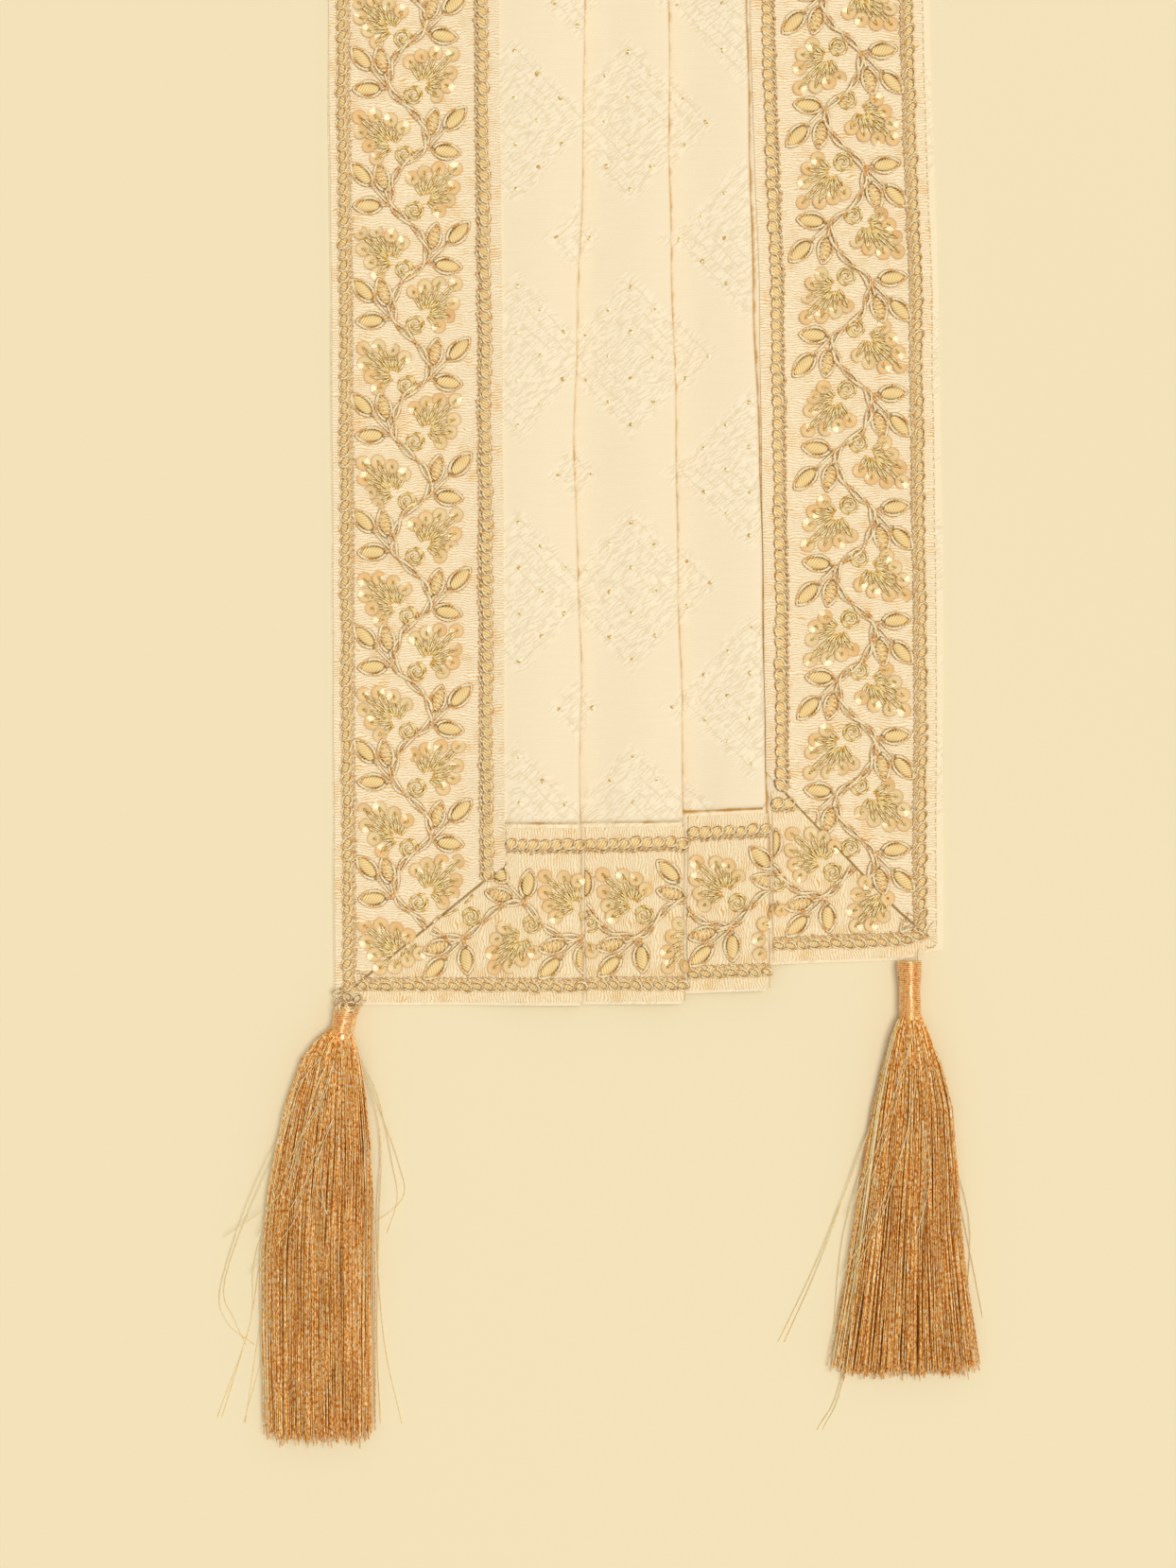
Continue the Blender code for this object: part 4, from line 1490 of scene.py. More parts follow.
def lace_shell(run):
    """The lace ground of one run as a closed thin shell."""
    inner = run.inner_edge - run.middle
    outer = run.edge - run.middle
    field = FIELD / 2
    across = np.concatenate([
        [outer, -field - BRAID, -field - BRAID / 2], np.linspace(-field, field, 9),
        [field + BRAID / 2, field + BRAID, inner],
    ])
    return band_mesh("lace_" + run.name, run, across, LACE_UNDER, LACE_TOP, LACE_WRAP)


def mitre_folds(run):
    """A border's turned edges along its two mitres."""
    threads = Threads()
    across = np.linspace(-FIELD / 2 - BRAID, FIELD / 2 + BRAID, 24)
    low, high = run.limits(across)
    for s in (low + 0.35 * MM, high - 0.35 * MM):
        wave = 0.12 * MM * np.sin(across / 0.0031)
        threads.add(run.place(s, across, LACE_TOP - 0.06 * MM + wave), 0.36 * MM)
    return threads


class STOLE_OT_lace(bpy.types.Operator):
    """Makes the lace ground of both borders and both hems"""

    bl_idname = "stole.lace"
    bl_label = "Lace ground"

    def execute(self, context):
        settings = context.scene.stole_cloth
        light, shade = tuple(settings.lace), tuple(settings.lace_shade)
        border = lace_finish("ribbed_lace", light, shade)
        hem = lace_finish("ribbed_hem_lace", tuple(settings.hem_lace), tinted(shade, 0.96))
        for run in RUNS:
            finish = border if run.side in ("left", "right") else hem
            piece = link_piece("lace_" + run.name, lace_shell(run), finish)
            settle(piece)
            if run.side in ("left", "right"):
                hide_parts("border_" + run.side)
            else:
                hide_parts(f"hem_{run.side}_{run.stretch}")
                ends = run.limits(np.array([0.0]), LACE_WRAP)
        # The turned edges at the mitres are coloured in painted shade, dark and golden brown
        turned = lace_finish("turned_edge", tinted(shade, 0.8), FOLD_SHADE_COLOUR)
        for run in RUNS[:2]:
            edge = thread_piece(f"mitre_folds_{run.name}", mitre_folds(run), 5, turned)
            settle(edge)
        return {"FINISHED"}


def offset_path(path, distance):
    """A path beside another one in (s, t)."""
    step = np.gradient(path, axis=0)
    step = step / np.linalg.norm(step, axis=1)[:, None]
    return path + np.stack([-step[:, 1] * distance, step[:, 0] * distance], axis=1)


def with_height(path, height):
    path = np.asarray(path, float)
    return np.column_stack([path, np.broadcast_to(height, len(path))])


def wobbled(run, path):
    """A path with a hand's small unevenness, the same for what lies together."""
    s, t = path[:, 0] + run.zero, path[:, 1]
    shift_s = HAND_WANDER * (np.sin(s / 0.0061 + t / 0.0043) + np.sin(s / 0.0173 - t / 0.0079 + 1))
    shift_t = HAND_WANDER * (np.sin(s / 0.0053 - t / 0.0049 + 2) + np.sin(s / 0.0141 + t / 0.0088))
    return path + np.stack([shift_s, shift_t], axis=1)


def charted(run, number, places):
    """Charted places (mm) in one repeat of a run, in metres along it."""
    places = np.atleast_2d(np.asarray(places, float))
    scale = run.pitch / (REPEAT * MM)
    s = (places[:, 0] + number * REPEAT) * MM * scale
    return wobbled(run, np.stack([s, places[:, 1] * MM], axis=1))


def sew_vine(run, threads, fine):
    """The double cord that winds along the field."""
    numbers = repeats(run)
    points = np.vstack([charted(run, number, VINE) for number in numbers])
    path = smooth_path(points, 7)
    keep = np.array([is_fine(run, s) == fine for s in path[:, 0]])
    if not fine:
        path, keep = path[::2], keep[::2]
    for side in (-1, 1):
        turn = path[:, 0] * 2 * math.pi / VINE_TWIST
        beside = offset_path(path, side * VINE_HALF_GAP * np.cos(turn))
        height = LACE_TOP + VINE_CORD * (1.15 + 0.6 * side * np.sin(turn))
        piece = []
        for k, keeps in enumerate(list(keep) + [False]):
            if keeps:
                piece.append((*beside[k], height[k]))
            elif piece:
                if len(piece) > 1:
                    threads.sew(run, piece, VINE_CORD)
                piece = []


def leaf_outline(middle, direction, length, width, number):
    """Points round a pointed leaf, from its base."""
    side = np.array([-direction[1], direction[0]])
    points = []
    for k in range(number):
        angle = 2 * math.pi * k / number
        along = -math.cos(angle) * length / 2
        share = (along / length) + 0.5
        half = width / 2 * math.sin(math.pi * min(1.0, share ** 0.85)) ** 0.7
        half = half if angle < math.pi else -half
        points.append(middle + direction * along + side * half)
    return np.array(points)


def leaf_frames(run, number):
    """Junction, middle, direction, length, width and filling of a repeat's leaves."""
    for junction, leaves in (INNER_SPRIG, OUTER_SPRIG):
        start = charted(run, number, junction)[0]
        for place, length, width, filling in leaves:
            middle = charted(run, number, place)[0]
            direction = middle - start
            direction = direction / np.linalg.norm(direction)
            yield start, middle, direction, length * MM, width * MM, filling


def sew_leaves(run, number, threads, fine):
    """Corded outlines and stems of one repeat's leaves, with rungs on the ribbed ones."""
    count = 16 if fine else 10
    for start, middle, direction, length, width, filling in leaf_frames(run, number):
        outline = leaf_outline(middle, direction, length, width, count)
        threads.sew(run, with_height(outline, LACE_TOP + 0.9 * LEAF_CORD), LEAF_CORD, closed=True)
        base = middle - direction * length / 2
        stem = np.array([start, (start + base) / 2, base])
        threads.sew(run, with_height(stem, LACE_TOP + LEAF_CORD), LEAF_CORD)
        if filling == "ribbed" and fine:
            side = np.array([-direction[1], direction[0]])
            for share in (-0.28, -0.13, 0.02, 0.17, 0.32):
                half = 0.40 * width * math.cos(share * 2.2)
                spot = middle + direction * share * length
                rung = np.array([spot - side * half, spot, spot + side * half])
                threads.sew(run, with_height(rung, LACE_TOP + 0.7 * LEAF_CORD), 0.62 * LEAF_CORD)


def leaf_pad(run, middle, direction, length, width, fine):
    """Crowned satin filling of one leaf: points, faces and pattern map."""
    rows, columns = (8, 5) if fine else (5, 4)
    side = np.array([-direction[1], direction[0]])
    low, high = run.limits(np.array([middle[1]]))
    if not low[0] - 1 * MM < middle[0] < high[0] + 1 * MM:
        return None
    grid, uvs = [], []
    for along in np.linspace(-0.47, 0.47, rows):
        half = 0.46 * width * math.cos(math.pi * along * 0.98) ** 0.7
        for across in np.linspace(-1, 1, columns):
            place = middle + direction * along * length + side * across * half
            crown = (1 - across ** 2) * math.cos(math.pi * along)
            grid.append((*place, LACE_TOP + 0.05 * MM + 0.5 * MM * crown))
            uvs.append((along * length, across * half))
    path = np.array(grid)
    low, high = run.limits(path[:, 1])
    path[:, 0] = np.clip(path[:, 0], low, high)
    return run.place(*path.T), rows, columns, np.array(uvs)


def petal_path(root, tip, fine):
    """The narrow loop of thick thread that makes one petal."""
    step = tip - root
    size = np.linalg.norm(step)
    direction = step / size
    side = np.array([-direction[1], direction[0]])
    gap = PETAL_HALF_GAP
    if not fine:
        return np.array([root, root + 0.5 * step, tip])
    return np.array([
        root + 0.2 * step + side * 0.3 * gap,
        root + 0.5 * step + side * gap,
        root + 0.84 * step + side * gap,
        tip + direction * 0.3 * MM,
        root + 0.84 * step - side * gap,
        root + 0.5 * step - side * gap,
        root + 0.2 * step - side * 0.3 * gap,
    ])


def sew_flowers(run, number, threads, fine):
    """Petal loops and coiled roses of one repeat."""
    for flower in (OUTER_FLOWER, INNER_FLOWER):
        root = charted(run, number, flower["root"])[0]
        for tip in charted(run, number, flower["tips"]):
            path = petal_path(root, tip, fine)
            rise = np.linspace(0.9, 1.5, len(path)) if not fine else np.array(
                [0.8, 1.15, 1.45, 1.6, 1.35, 1.05, 0.8]
            )
            thick = PETAL_THREAD if fine else 1.5 * PETAL_THREAD
            threads.sew(run, with_height(path, LACE_TOP + rise * thick), thick)
        middle = charted(run, number, flower["rose"])[0]
        per_turn = 10 if fine else 6
        steps = int(ROSE_TURNS * per_turn)
        turns = np.arange(steps + 1) / per_turn
        radius = ROSE_RADIUS * (1 - 0.9 * np.maximum(0, turns - 0.8) / (ROSE_TURNS - 0.8))
        angle = 2 * math.pi * turns
        spiral = middle + np.stack([radius * np.cos(angle), radius * np.sin(angle)], axis=1)
        height = LACE_TOP + 0.45 * MM + 0.35 * MM * turns / ROSE_TURNS
        threads.sew(run, with_height(spiral, height), 0.48 * MM)


def sequin_shape(name, sides):
    """A dished sequin of 1 mm radius with a hole, closed and thin."""
    bm = bmesh.new()
    layer = bm.loops.layers.uv.new("UVMap")
    rings = []
    for radius, height in ((0.16, 0.0), (1.0, 0.16), (0.62, -0.03)):
        ring = []
        for k in range(sides):
            angle = 2 * math.pi * k / sides
            place = (radius * math.cos(angle) * MM, radius * math.sin(angle) * MM, height * MM)
            ring.append(bm.verts.new(place))
        rings.append(ring)
    for low, high in zip(rings, rings[1:] + rings[:1]):
        for k in range(sides):
            following = (k + 1) % sides
            bm.faces.new((low[k], high[k], high[following], low[following]))
    for face in bm.faces:
        for loop in face.loops:
            loop[layer].uv = (loop.vert.co.xy.length / MM, 0.0)
    bmesh.ops.recalc_face_normals(bm, faces=bm.faces)
    return template(name, bm)


def braid_shape(name, side, fine, finish):
    """One stitch of a braid: a loop over the last one, and slanted strands beside it
    on the side away from the field."""
    threads = Threads()
    steps = 10 if fine else 7
    angle = 2 * math.pi * np.arange(steps) / steps
    s = 2.0 * np.cos(angle)
    t = 1.5 * np.sin(angle) + 0.3 * np.cos(angle) - 0.45
    ring = np.stack([s, side * t, 0.62 - 0.26 * np.cos(angle)], axis=1)
    threads.add(ring * MM, 0.52 * MM, closed=True)
    for shift in (-0.9, 0.9) if fine else (0.0,):
        strand = [(shift - 0.7, 1.35, 0.45), (shift, 1.95, 0.85), (shift + 0.8, 2.35, 0.4)]
        path = np.array([(s, side * t, h) for s, t, h in strand])
        threads.add(path * MM, (0.42 if fine else 0.6) * MM)
    return thread_piece(name, threads, 3, finish)


def set_on_run(run, spots, s, t, height, size, tilt=(0.0, 0.0), spin=0.0):
    """Adds a place for a small shape if it lies on the run."""
    low, high = run.limits(np.array([t]))
    if not low[0] <= s <= high[0]:
        return
    turn = run.turn(s, t, height)
    lean = Matrix.Rotation(tilt[0], 3, "X") @ Matrix.Rotation(tilt[1], 3, "Y")
    turn = turn @ lean @ Matrix.Rotation(spin, 3, "Z")
    spots.append((run.place(np.float64(s), np.float64(t), np.float64(height)), turn, size))


def lay_braid(run, side, spots, threads, chance):
    """The stitches of the braid on one side of the field, and its zigzag cord."""
    middle = side * (FIELD + BRAID) / 2
    low, high = (float(ends[0]) for ends in run.limits(np.array([middle])))
    number = max(1, int((high - low) / BRAID_PITCH))
    for k in range(number):
        s = low + (k + 0.5) * (high - low) / number
        wander = chance.uniform(-0.3, 0.3) * MM
        set_on_run(
            run, spots[is_fine(run, s), side], s, middle + wander, LACE_TOP,
            chance.uniform(0.86, 1.1), spin=chance.uniform(-0.3, 0.3),
        )
    along = np.arange(low, high, 0.95 * MM)
    index = np.arange(len(along))
    t = middle - side * 2.1 * MM + 0.28 * MM * np.where(index % 2, 1, -1)
    fine = from_hem(run.spot(along, t)[1]) < FINE_TO
    kept = fine | (index % 3 == 0)
    path = np.stack([along, t, LACE_TOP + 0.32 * MM + 0 * t], axis=1)[kept]
    threads.sew(run, path, 0.38 * MM)


def braid_bed(run, side):
    """The flat strip that shows through a braid's loops."""
    middle = side * (FIELD + BRAID) / 2
    across = middle + np.array([-2.0, -0.7, 0.7, 2.0]) * MM
    top = LACE_TOP + np.array([0.1, 0.42, 0.42, 0.1]) * MM
    name = f"bed_{run.name}_{side}"
    return band_mesh(name, run, across, LACE_TOP - 0.1 * MM, top, THREAD_WRAP)


def corner_stitches(end, chance):
    """The last loops of the braid, gathered over the left tassel's neck."""
    spots = []
    for x, v in CORNER_LOOPS:
        y = v * MM if end == "near" else LENGTH - v * MM
        turn = Matrix.Rotation(chance.uniform(-1.4, 1.4), 3, "Z")
        level = NECK_LEVEL + 3.2 * MM if v < 0 else GROUND_TOP + 1.2 * MM + LACE_TOP
        spots.append((to_frame(x * MM, y, level), turn, chance.uniform(0.8, 1.0)))
    return spots


class STOLE_OT_braids(bpy.types.Operator):
    """Makes the looped braids along both sides of every lace"""

    bl_idname = "stole.braids"
    bl_label = "Braids"

    def execute(self, context):
        settings = context.scene.stole_embroidery
        silver, brown = tuple(settings.silver), tuple(settings.brown)
        finish = cord_finish(
            "braid_cord", silver, tinted(brown, 0.95), 1.2 * MM, 5 * MM, 0.0, 0.3,
            **CORD_COAT,
        )
        ground = satin_finish("braid_ground", tuple(settings.satin), deepened(settings.satin, 0.75))
        kinds = [(fine, side) for fine in (True, False) for side in (-1, 1)]
        shapes = {
            (fine, side): braid_shape(f"stitch_{fine:d}_{side}", side, fine, finish)
            for fine, side in kinds
        }
        chance = random.Random(SEEDS["braids"])
        for group in GROUPS:
            spots = {kind: [] for kind in kinds}
            threads = Threads()
            beds = []
            for run in runs_of(group):
                for side in (-1, 1):
                    lay_braid(run, side, spots, threads, chance)
                    beds.append(link_piece("bed", braid_bed(run, side), ground))
            parts = [thread_piece("cords", threads, 3, finish)]
            for kind in kinds:
                if group in ("near", "far") and kind == (True, -1):
                    spots[kind].extend(corner_stitches(group, chance))
                if spots[kind]:
                    parts.append(spot_piece("stitches", spots[kind], shapes[kind], finish))
            settle(join_pieces(f"braids_{group}", parts))
            settle(join_pieces(f"braid_grounds_{group}", beds))
        for shape in shapes.values():
            drop(shape)
        return {"FINISHED"}


class STOLE_OT_vines(bpy.types.Operator):
    """Makes the winding cords, the leaves' outlines and their satin fillings"""

    bl_idname = "stole.vines"
    bl_label = "Vines and leaves"

    def execute(self, context):
        settings = context.scene.stole_embroidery
        cord = cord_finish(
            "vine_cord", tuple(settings.silver), tuple(settings.brown), 1.2 * MM, 8 * MM, 0.0, 0.35,
            **CORD_COAT,
        )
        satin = satin_finish("leaf_satin", tuple(settings.satin), deepened(settings.satin, 0.85))
        for group in GROUPS:
            parts = []
            pads = []
            for fine in (True, False):
                threads = Threads()
                for run in runs_of(group):
                    sew_vine(run, threads, fine)
                    for number in repeats(run):
                        if repeat_is_fine(run, number) != fine:
                            continue
                        sew_leaves(run, number, threads, fine)
                        for leaf in leaf_frames(run, number):
                            pads.append(leaf_pad(run, *leaf[1:-1], fine))
                if threads.count:
                    parts.append(thread_piece("cords", threads, 4 if fine else 3, cord))
            settle(join_pieces(f"vines_{group}", parts))
            mesh = pads_mesh(f"leaves_{group}", [pad for pad in pads if pad is not None])
            settle(link_piece(f"leaves_{group}", mesh, satin))
        return {"FINISHED"}


def pads_mesh(name, pads):
    """All leaf fillings of a group as closed crowned pads."""
    points, faces, uvs = [], [], []
    for places, rows, columns, uv in pads:
        first = len(points)
        index = np.arange(rows * columns).reshape(rows, columns) + first
        points.extend(places.tolist())
        uvs.extend(uv.tolist())
        for i in range(rows - 1):
            for j in range(columns - 1):
                faces.append((index[i, j], index[i + 1, j], index[i + 1, j + 1], index[i, j + 1]))
        faces.append(tuple(rim_of(index)[::-1]))
    mesh = bpy.data.meshes.new(name)
    mesh.from_pydata(points, [], [tuple(int(k) for k in face) for face in faces])
    layer = mesh.uv_layers.new(name="UVMap")
    for loop in mesh.loops:
        layer.data[loop.index].uv = uvs[loop.vertex_index]
    mesh.shade_smooth()
    bm = bmesh.new()
    bm.from_mesh(mesh)
    bmesh.ops.recalc_face_normals(bm, faces=bm.faces)
    bm.to_mesh(mesh)
    bm.free()
    return mesh


class STOLE_OT_flowers(bpy.types.Operator):
    """Makes the gold petals and the coiled roses"""

    bl_idname = "stole.flowers"
    bl_label = "Flowers"

    def execute(self, context):
        settings = context.scene.stole_embroidery
        finish = cord_finish(
            "gold_thread", tuple(settings.gold), tuple(settings.old_gold), 1.1 * MM, 3.4 * MM, 0.1, 0.3,
            Coat_Weight=0.3, Coat_Roughness=0.15, Specular_IOR_Level=0.3,
        )
        for group in GROUPS:
            parts = []
            for fine in (True, False):
                threads = Threads()
                for run in runs_of(group):
                    for number in repeats(run):
                        if repeat_is_fine(run, number) == fine:
                            sew_flowers(run, number, threads, fine)
                if threads.count:
                    parts.append(thread_piece("threads", threads, 4 if fine else 3, finish))
            settle(join_pieces(f"flowers_{group}", parts))
        return {"FINISHED"}


class STOLE_OT_sequins(bpy.types.Operator):
    """Makes a sequin and its knot at the tip of every petal"""

    bl_idname = "stole.sequins"
    bl_label = "Sequins"

    def execute(self, context):
        settings = context.scene.stole_embroidery
        film = sequin_finish(tuple(settings.sequin))
        knot_finish = cord_finish(
            "knot_thread", tuple(settings.old_gold), tinted(settings.old_gold, 0.5),
            0.9 * MM, 3 * MM, 0.4, 0.4,
        )
        shapes = {True: sequin_shape("sequin_fine", 12), False: sequin_shape("sequin", 8)}
        knot = lens_shape("knot", 0.52 * MM, 0.45 * MM, 5)
        chance = random.Random(SEEDS["sequins"])
        for group in GROUPS:
            spots = {True: [], False: []}
            knots = []
            for run in runs_of(group):
                for number in repeats(run):
                    self.lay(run, number, spots, knots, settings.sequin_size / 2 / MM, chance)
            parts = []
            for fine in (True, False):
                if spots[fine]:
                    parts.append(spot_piece("film", spots[fine], shapes[fine], film))
            settle(join_pieces(f"sequins_{group}", parts))
            settle(spot_piece(f"knots_{group}", knots, knot, knot_finish))
        for shape in (*shapes.values(), knot):
            drop(shape)
        return {"FINISHED"}

    def lay(self, run, number, spots, knots, size, chance):
        for flower in (OUTER_FLOWER, INNER_FLOWER):
            for s, t in charted(run, number, flower["tips"]):
                tilt = (chance.gauss(0, 0.18), chance.gauss(0, 0.18))
                spin = chance.uniform(0, 6)
                fine = repeat_is_fine(run, number)
                set_on_run(run, spots[fine], s, t, LACE_TOP + 0.3 * MM, size, tilt, spin)
                set_on_run(run, knots, s, t, LACE_TOP + 0.35 * MM, 1.0)


def running_stitches(chance):
    """The row of stitches near the right edge, as short threads."""
    run = RUNS[1]
    low, high = (float(ends[0]) for ends in run.limits(np.array([STITCH_LINE - run.middle])))
    threads = Threads()
    for s in np.arange(low + 4 * MM, high - 4 * MM, STITCH_STEP):
        t = STITCH_LINE - run.middle + chance.gauss(0, 0.06) * MM
        long = chance.uniform(1.3, 1.8) * MM
        path = [(s, t, LACE_TOP), (s + long / 2, t, LACE_TOP + 0.16 * MM), (s + long, t, LACE_TOP)]
        threads.sew(run, path, 0.14 * MM)
    return threads


def loose_ends(chance):
    """Frayed thread ends at the near corners."""
    threads = Threads()
    for stretch, x, v, spread, number in FRAYS:
        for _ in range(number):
            angle = chance.uniform(0, 2 * math.pi)
            long = chance.uniform(2.5, 6.0) * MM
            start_x = (x + chance.gauss(0, spread)) * MM
            start_v = (v + chance.gauss(0, spread)) * MM
            bend = chance.uniform(-0.9, 0.9)
            points = []
            for step in range(4):
                share = step / 3
                turn = angle + bend * share
                points.append(on_cloth(
                    stretch, np.float64(start_x + long * share * math.cos(turn)),
                    np.float64(start_v + long * share * math.sin(turn)),
                    np.float64(LACE_TOP + (0.3 + 0.6 * math.sin(math.pi * share)) * MM),
                ))
            threads.add(np.array(points), 0.13 * MM)
    return threads


class STOLE_OT_stitches(bpy.types.Operator):
    """Makes the running stitches and the frayed ends at the corners"""

    bl_idname = "stole.stitches"
    bl_label = "Stitches and loose ends"

    def execute(self, context):
        settings = context.scene.stole_embroidery
        chance = random.Random(SEEDS["stitches"])
        sewing = cord_finish(
            "sewing_thread", tinted(settings.satin, 1.1), tinted(settings.satin, 0.75),
            0.7 * MM, 4 * MM, 0.0, 0.5,
        )
        fray = cord_finish(
            "frayed_thread", tinted(settings.satin, 0.9), tinted(settings.brown, 0.9),
            0.9 * MM, 5 * MM, 0.2, 0.4,
        )
        settle(thread_piece("running_stitches", running_stitches(chance), 3, sewing))
        settle(thread_piece("loose_ends", loose_ends(chance), 3, fray))
        return {"FINISHED"}


def tassel_place(side, end):
    """A function from distance past the hem, x (mm from the neck's top) and height."""
    at_x, rise = (value * MM for value in TASSEL_ROWS[side][:2])
    away = -1 if end == "near" else 1
    hem = rise if end == "near" else LENGTH - rise

    def place(along, across, height):
        x = at_x + across
        return to_frame(x, hem + away * (TASSEL_GAP + along), height)

    return place


def skirt_threads(side, end, settings, seed):
    """Every thread of one skirt, from inside the neck to its ragged end, and apart
    from them the paler ones that stand out at its sides."""
    place = tassel_place(side, end)
    neck, lean, _, end_radius = (value * MM for value in TASSEL_ROWS[side][2:])
    skirt = [tuple(value * MM for value in row) for row in SKIRT_ROWS[side]]
    chance = random.Random(seed)
    threads, outer = Threads(), Threads()
    radius = settings.thread / 2
    for number in range(settings.count):
        reach = math.sqrt((number + 0.5) / settings.count)
        angle = number * GOLDEN_TURN
        s, t = reach * math.cos(angle), reach * math.sin(angle)
        points = [(neck - 2 * MM, lean + s * end_radius * 0.8, NECK_LEVEL + t * end_radius * 0.8)]
        wild = abs(s) > 0.84 and chance.random() < 0.25
        drift_s, drift_t = chance.gauss(0, 0.08 if wild else 0.05), chance.gauss(0, 0.10)
        if wild:
            s, t = s * chance.uniform(0.98, 1.05), t + 0.1
        length = 1 + min(0.028, chance.gauss(-0.012, 0.016))
        if chance.random() < 0.10:
            length -= chance.uniform(0.02, 0.10)
        for step, (along, shift, half, middle, above, below) in enumerate(skirt):
            loose = step / (len(skirt) - 1)
            across = (s + drift_s * loose + chance.gauss(0, 0.02)) * half
            up = max(-1.0, min(1.0, t + drift_t * loose + chance.gauss(0, 0.05)))
            height = middle + up * (above if up > 0 else below)
            reach_along = neck + along * (length if step == len(skirt) - 1 else 1)
            points.append((reach_along, lean + shift + across, max(height, 1.1 * radius)))
        path = smooth_path(points, 2)
        path[:, 2] = np.maximum(path[:, 2], 1.05 * radius)
        made = place(path[:, 0], path[:, 1], path[:, 2])
        (outer if wild else threads).add(made, radius * chance.uniform(0.75, 1.1))
    return threads, outer


def skirt_top(side, along, x):
    """Level of a skirt's upper side at a place on it (all mm)."""
    neck, lean = TASSEL_ROWS[side][2:4]
    rows = np.array(SKIRT_ROWS[side])
    shift, half, middle, above = (
        float(np.interp(along - neck, rows[:, 0], rows[:, part])) for part in (1, 2, 3, 4)
    )
    beside = (x - TASSEL_ROWS[side][0] - lean - shift) / half
    return middle + above * math.sqrt(max(0.0, 1 - beside ** 2))


def stray_threads(side, end, threads, seed):
    """Adds the single threads that lie apart from a skirt or across it."""
    place = tassel_place(side, end)
    at_x = TASSEL_ROWS[side][0]
    chance = random.Random(seed)
    for rows in STRAY_ROWS[side] + CROSSING_ROWS[side]:
        for _ in range(2):
            points = []
            for step, (along, x) in enumerate(rows):
                x = x + chance.gauss(0, 0.8) * step
                height = max(0.35, 4.5 - 1.6 * step)
                if rows in CROSSING_ROWS[side]:
                    height = skirt_top(side, along, x) + 0.4
                points.append((along * MM, (x - at_x) * MM, height * MM))
            path = smooth_path(points, 5)
            path[:, 2] = np.maximum(path[:, 2], 0.2 * MM)
            threads.add(place(path[:, 0], path[:, 1], path[:, 2]), 0.15 * MM)


def neck_threads(side, end):
    """The fine thread wound round the neck over its core."""
    place = tassel_place(side, end)
    neck, lean, top_radius, end_radius = (value * MM for value in TASSEL_ROWS[side][2:])
    wind = 0.62 * MM
    per_turn = 14
    turns = neck / wind
    steps = np.arange(int(turns * per_turn)) / per_turn
    along = steps * wind
    share = along / neck
    radius = top_radius + (end_radius - top_radius) * share
    radius = radius * (1 + 0.04 * np.sin(share * 9)) - 0.32 * MM
    across = lean * share + radius * np.cos(2 * math.pi * steps)
    height = NECK_LEVEL + radius * np.sin(2 * math.pi * steps)
    threads = Threads()
    threads.add(place(along, across, np.maximum(height, 0.4 * MM)), 0.36 * MM)
    return threads


def neck_core(side, end):
    """The solid core inside the winding, as a thread of the neck's own thickness."""
    place = tassel_place(side, end)
    neck, lean, top_radius, end_radius = (value * MM for value in TASSEL_ROWS[side][2:])
    share = np.linspace(0, 1, 6)
    along = 0.1 * MM + share * (neck + 4 * MM)
    radius = (top_radius + (end_radius - top_radius) * share) * 0.88
    threads = Threads()
    threads.add(place(along, lean * share, NECK_LEVEL + 0 * share), radius)
    return threads


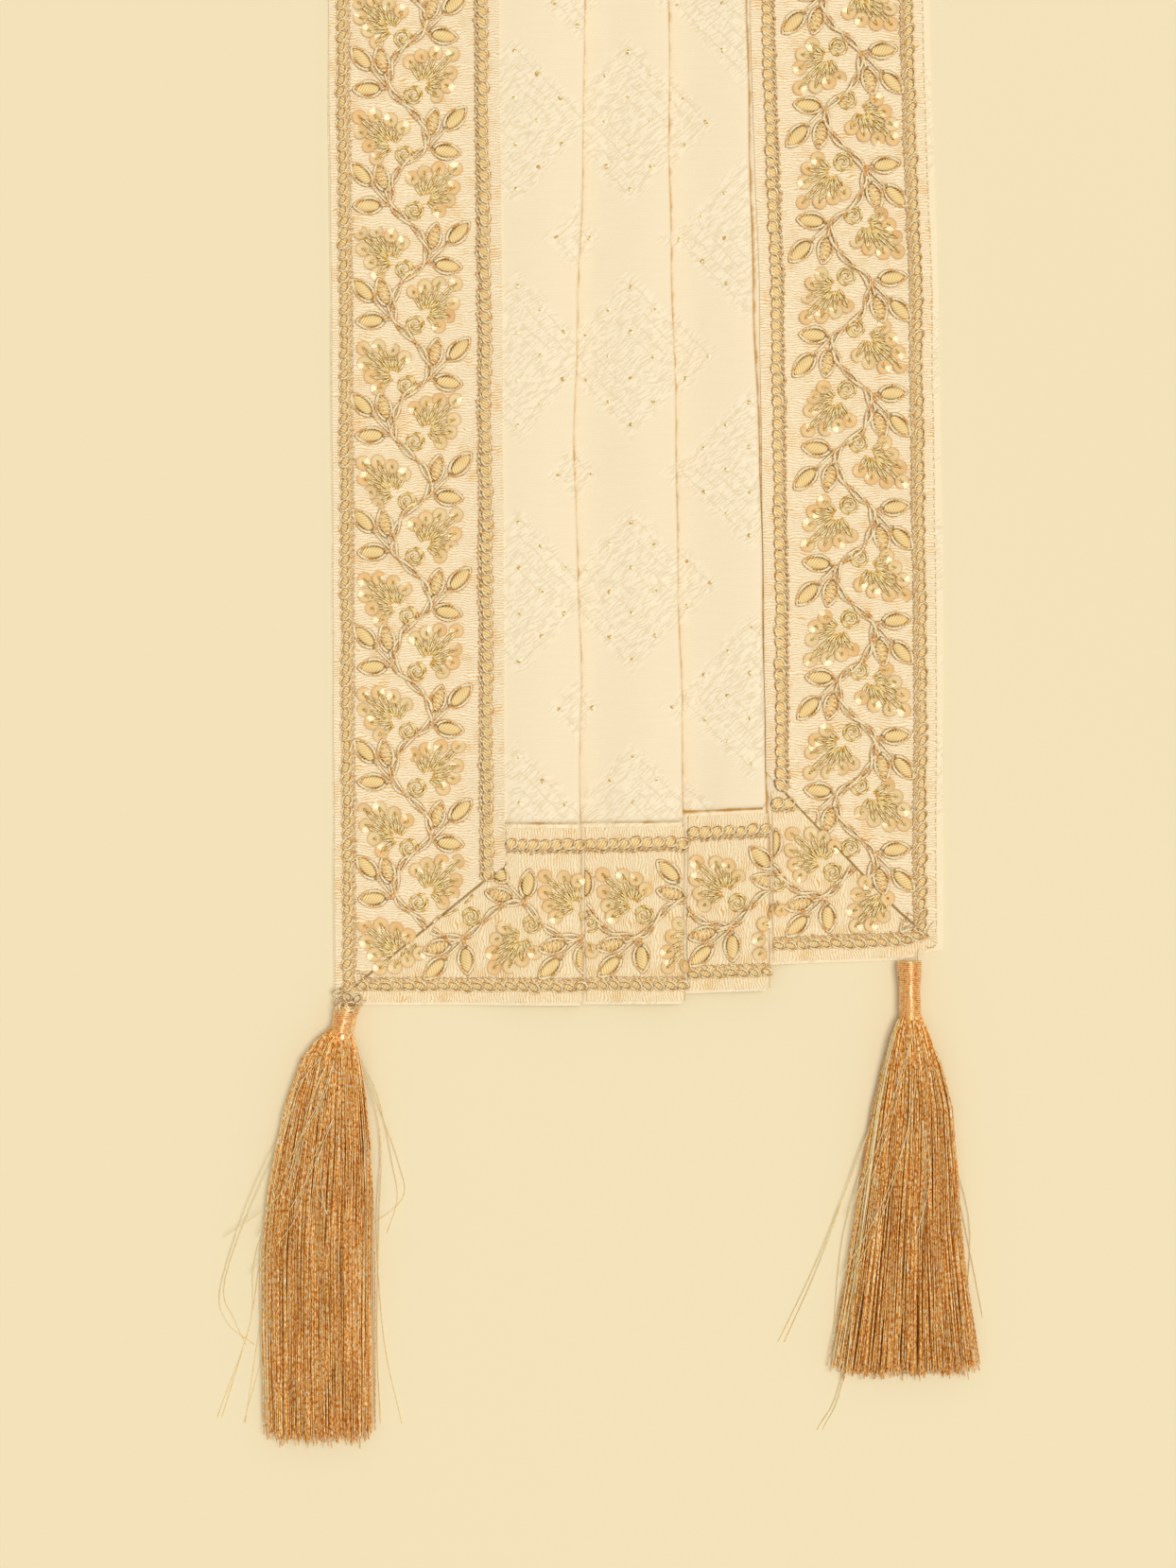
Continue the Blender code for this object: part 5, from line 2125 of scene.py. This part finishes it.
class STOLE_OT_tassels(bpy.types.Operator):
    """Makes the four thread tassels with their wound necks"""

    bl_idname = "stole.tassels"
    bl_label = "Tassels"

    def execute(self, context):
        settings = context.scene.stole_tassels
        skirt = tassel_finish(
            "tassel_thread_gloss", tuple(settings.glint), tuple(settings.copper), tuple(settings.shade)
        )
        wound = tassel_finish(
            "neck_thread_gloss", tinted(settings.copper, 1.3), tinted(settings.copper, 1.0),
            tinted(settings.shade, 1.3), 0.34, 0.3, 0.06,
            Coat_Weight=1.0, Coat_Roughness=0.24, Coat_IOR=2.9,
        )
        pale = tassel_finish(
            "outer_thread_gloss", tuple(settings.glint), deepened(settings.glint, 1.0),
            tinted(settings.copper, 1.2), 0.35, 0.0, Coat_Weight=0.3, Coat_Roughness=0.2,
        )
        seed = SEEDS["tassels"]
        for end in ("near", "far"):
            for side in ("left", "right"):
                name = f"tassel_skirt_{end}_{side}"
                threads, outer = skirt_threads(side, end, settings, seed)
                piece = settle(thread_piece(name, threads, 3, skirt))
                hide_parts(f"tassel_{end}_{side}")
                stray_threads(side, end, outer, seed)
                settle(thread_piece(f"tassel_strays_{end}_{side}", outer, 3, pale))
                parts = [
                    thread_piece("winding", neck_threads(side, end), 4, wound),
                    thread_piece("core", neck_core(side, end), 12, wound),
                ]
                settle(join_pieces(f"tassel_neck_{end}_{side}", parts))
                seed += 1
        return {"FINISHED"}


OPERATORS = (
    STOLE_OT_stage,
    STOLE_OT_ground,
    STOLE_OT_dots,
    STOLE_OT_lace,
    STOLE_OT_braids,
    STOLE_OT_vines,
    STOLE_OT_flowers,
    STOLE_OT_sequins,
    STOLE_OT_stitches,
    STOLE_OT_tassels,
)


class STOLE_PT_panel(bpy.types.Panel):
    """Lists the steps that build the stole"""

    bl_label = "Dupatta Stole"
    bl_idname = "STOLE_PT_panel"
    bl_space_type = "VIEW_3D"
    bl_region_type = "UI"
    bl_category = "Stole"

    def draw(self, context):
        for group in ("stole_cloth", "stole_embroidery", "stole_tassels", "stole_stage"):
            settings = getattr(context.scene, group)
            box = self.layout.box()
            for name in settings.bl_rna.properties.keys():
                if name not in ("rna_type", "name"):
                    box.prop(settings, name)
        for operator in OPERATORS:
            self.layout.operator(operator.bl_idname)


SETTINGS = {
    "stole_cloth": StoleCloth,
    "stole_embroidery": StoleEmbroidery,
    "stole_tassels": StoleTassels,
    "stole_stage": StoleStage,
}


def register():
    for kind in (*SETTINGS.values(), *OPERATORS, STOLE_PT_panel):
        bpy.utils.register_class(kind)
    for name, kind in SETTINGS.items():
        setattr(bpy.types.Scene, name, bpy.props.PointerProperty(type=kind))


def unregister():
    for name in SETTINGS:
        delattr(bpy.types.Scene, name)
    for kind in (STOLE_PT_panel, *reversed(OPERATORS), *SETTINGS.values()):
        bpy.utils.unregister_class(kind)


def main():
    register()
    bpy.ops.stole.stage()
    bpy.ops.stole.ground()
    bpy.ops.stole.dots()
    bpy.ops.stole.lace()
    bpy.ops.stole.braids()
    bpy.ops.stole.vines()
    bpy.ops.stole.flowers()
    bpy.ops.stole.sequins()
    bpy.ops.stole.stitches()
    bpy.ops.stole.tassels()


if __name__ == "__main__":
    main()
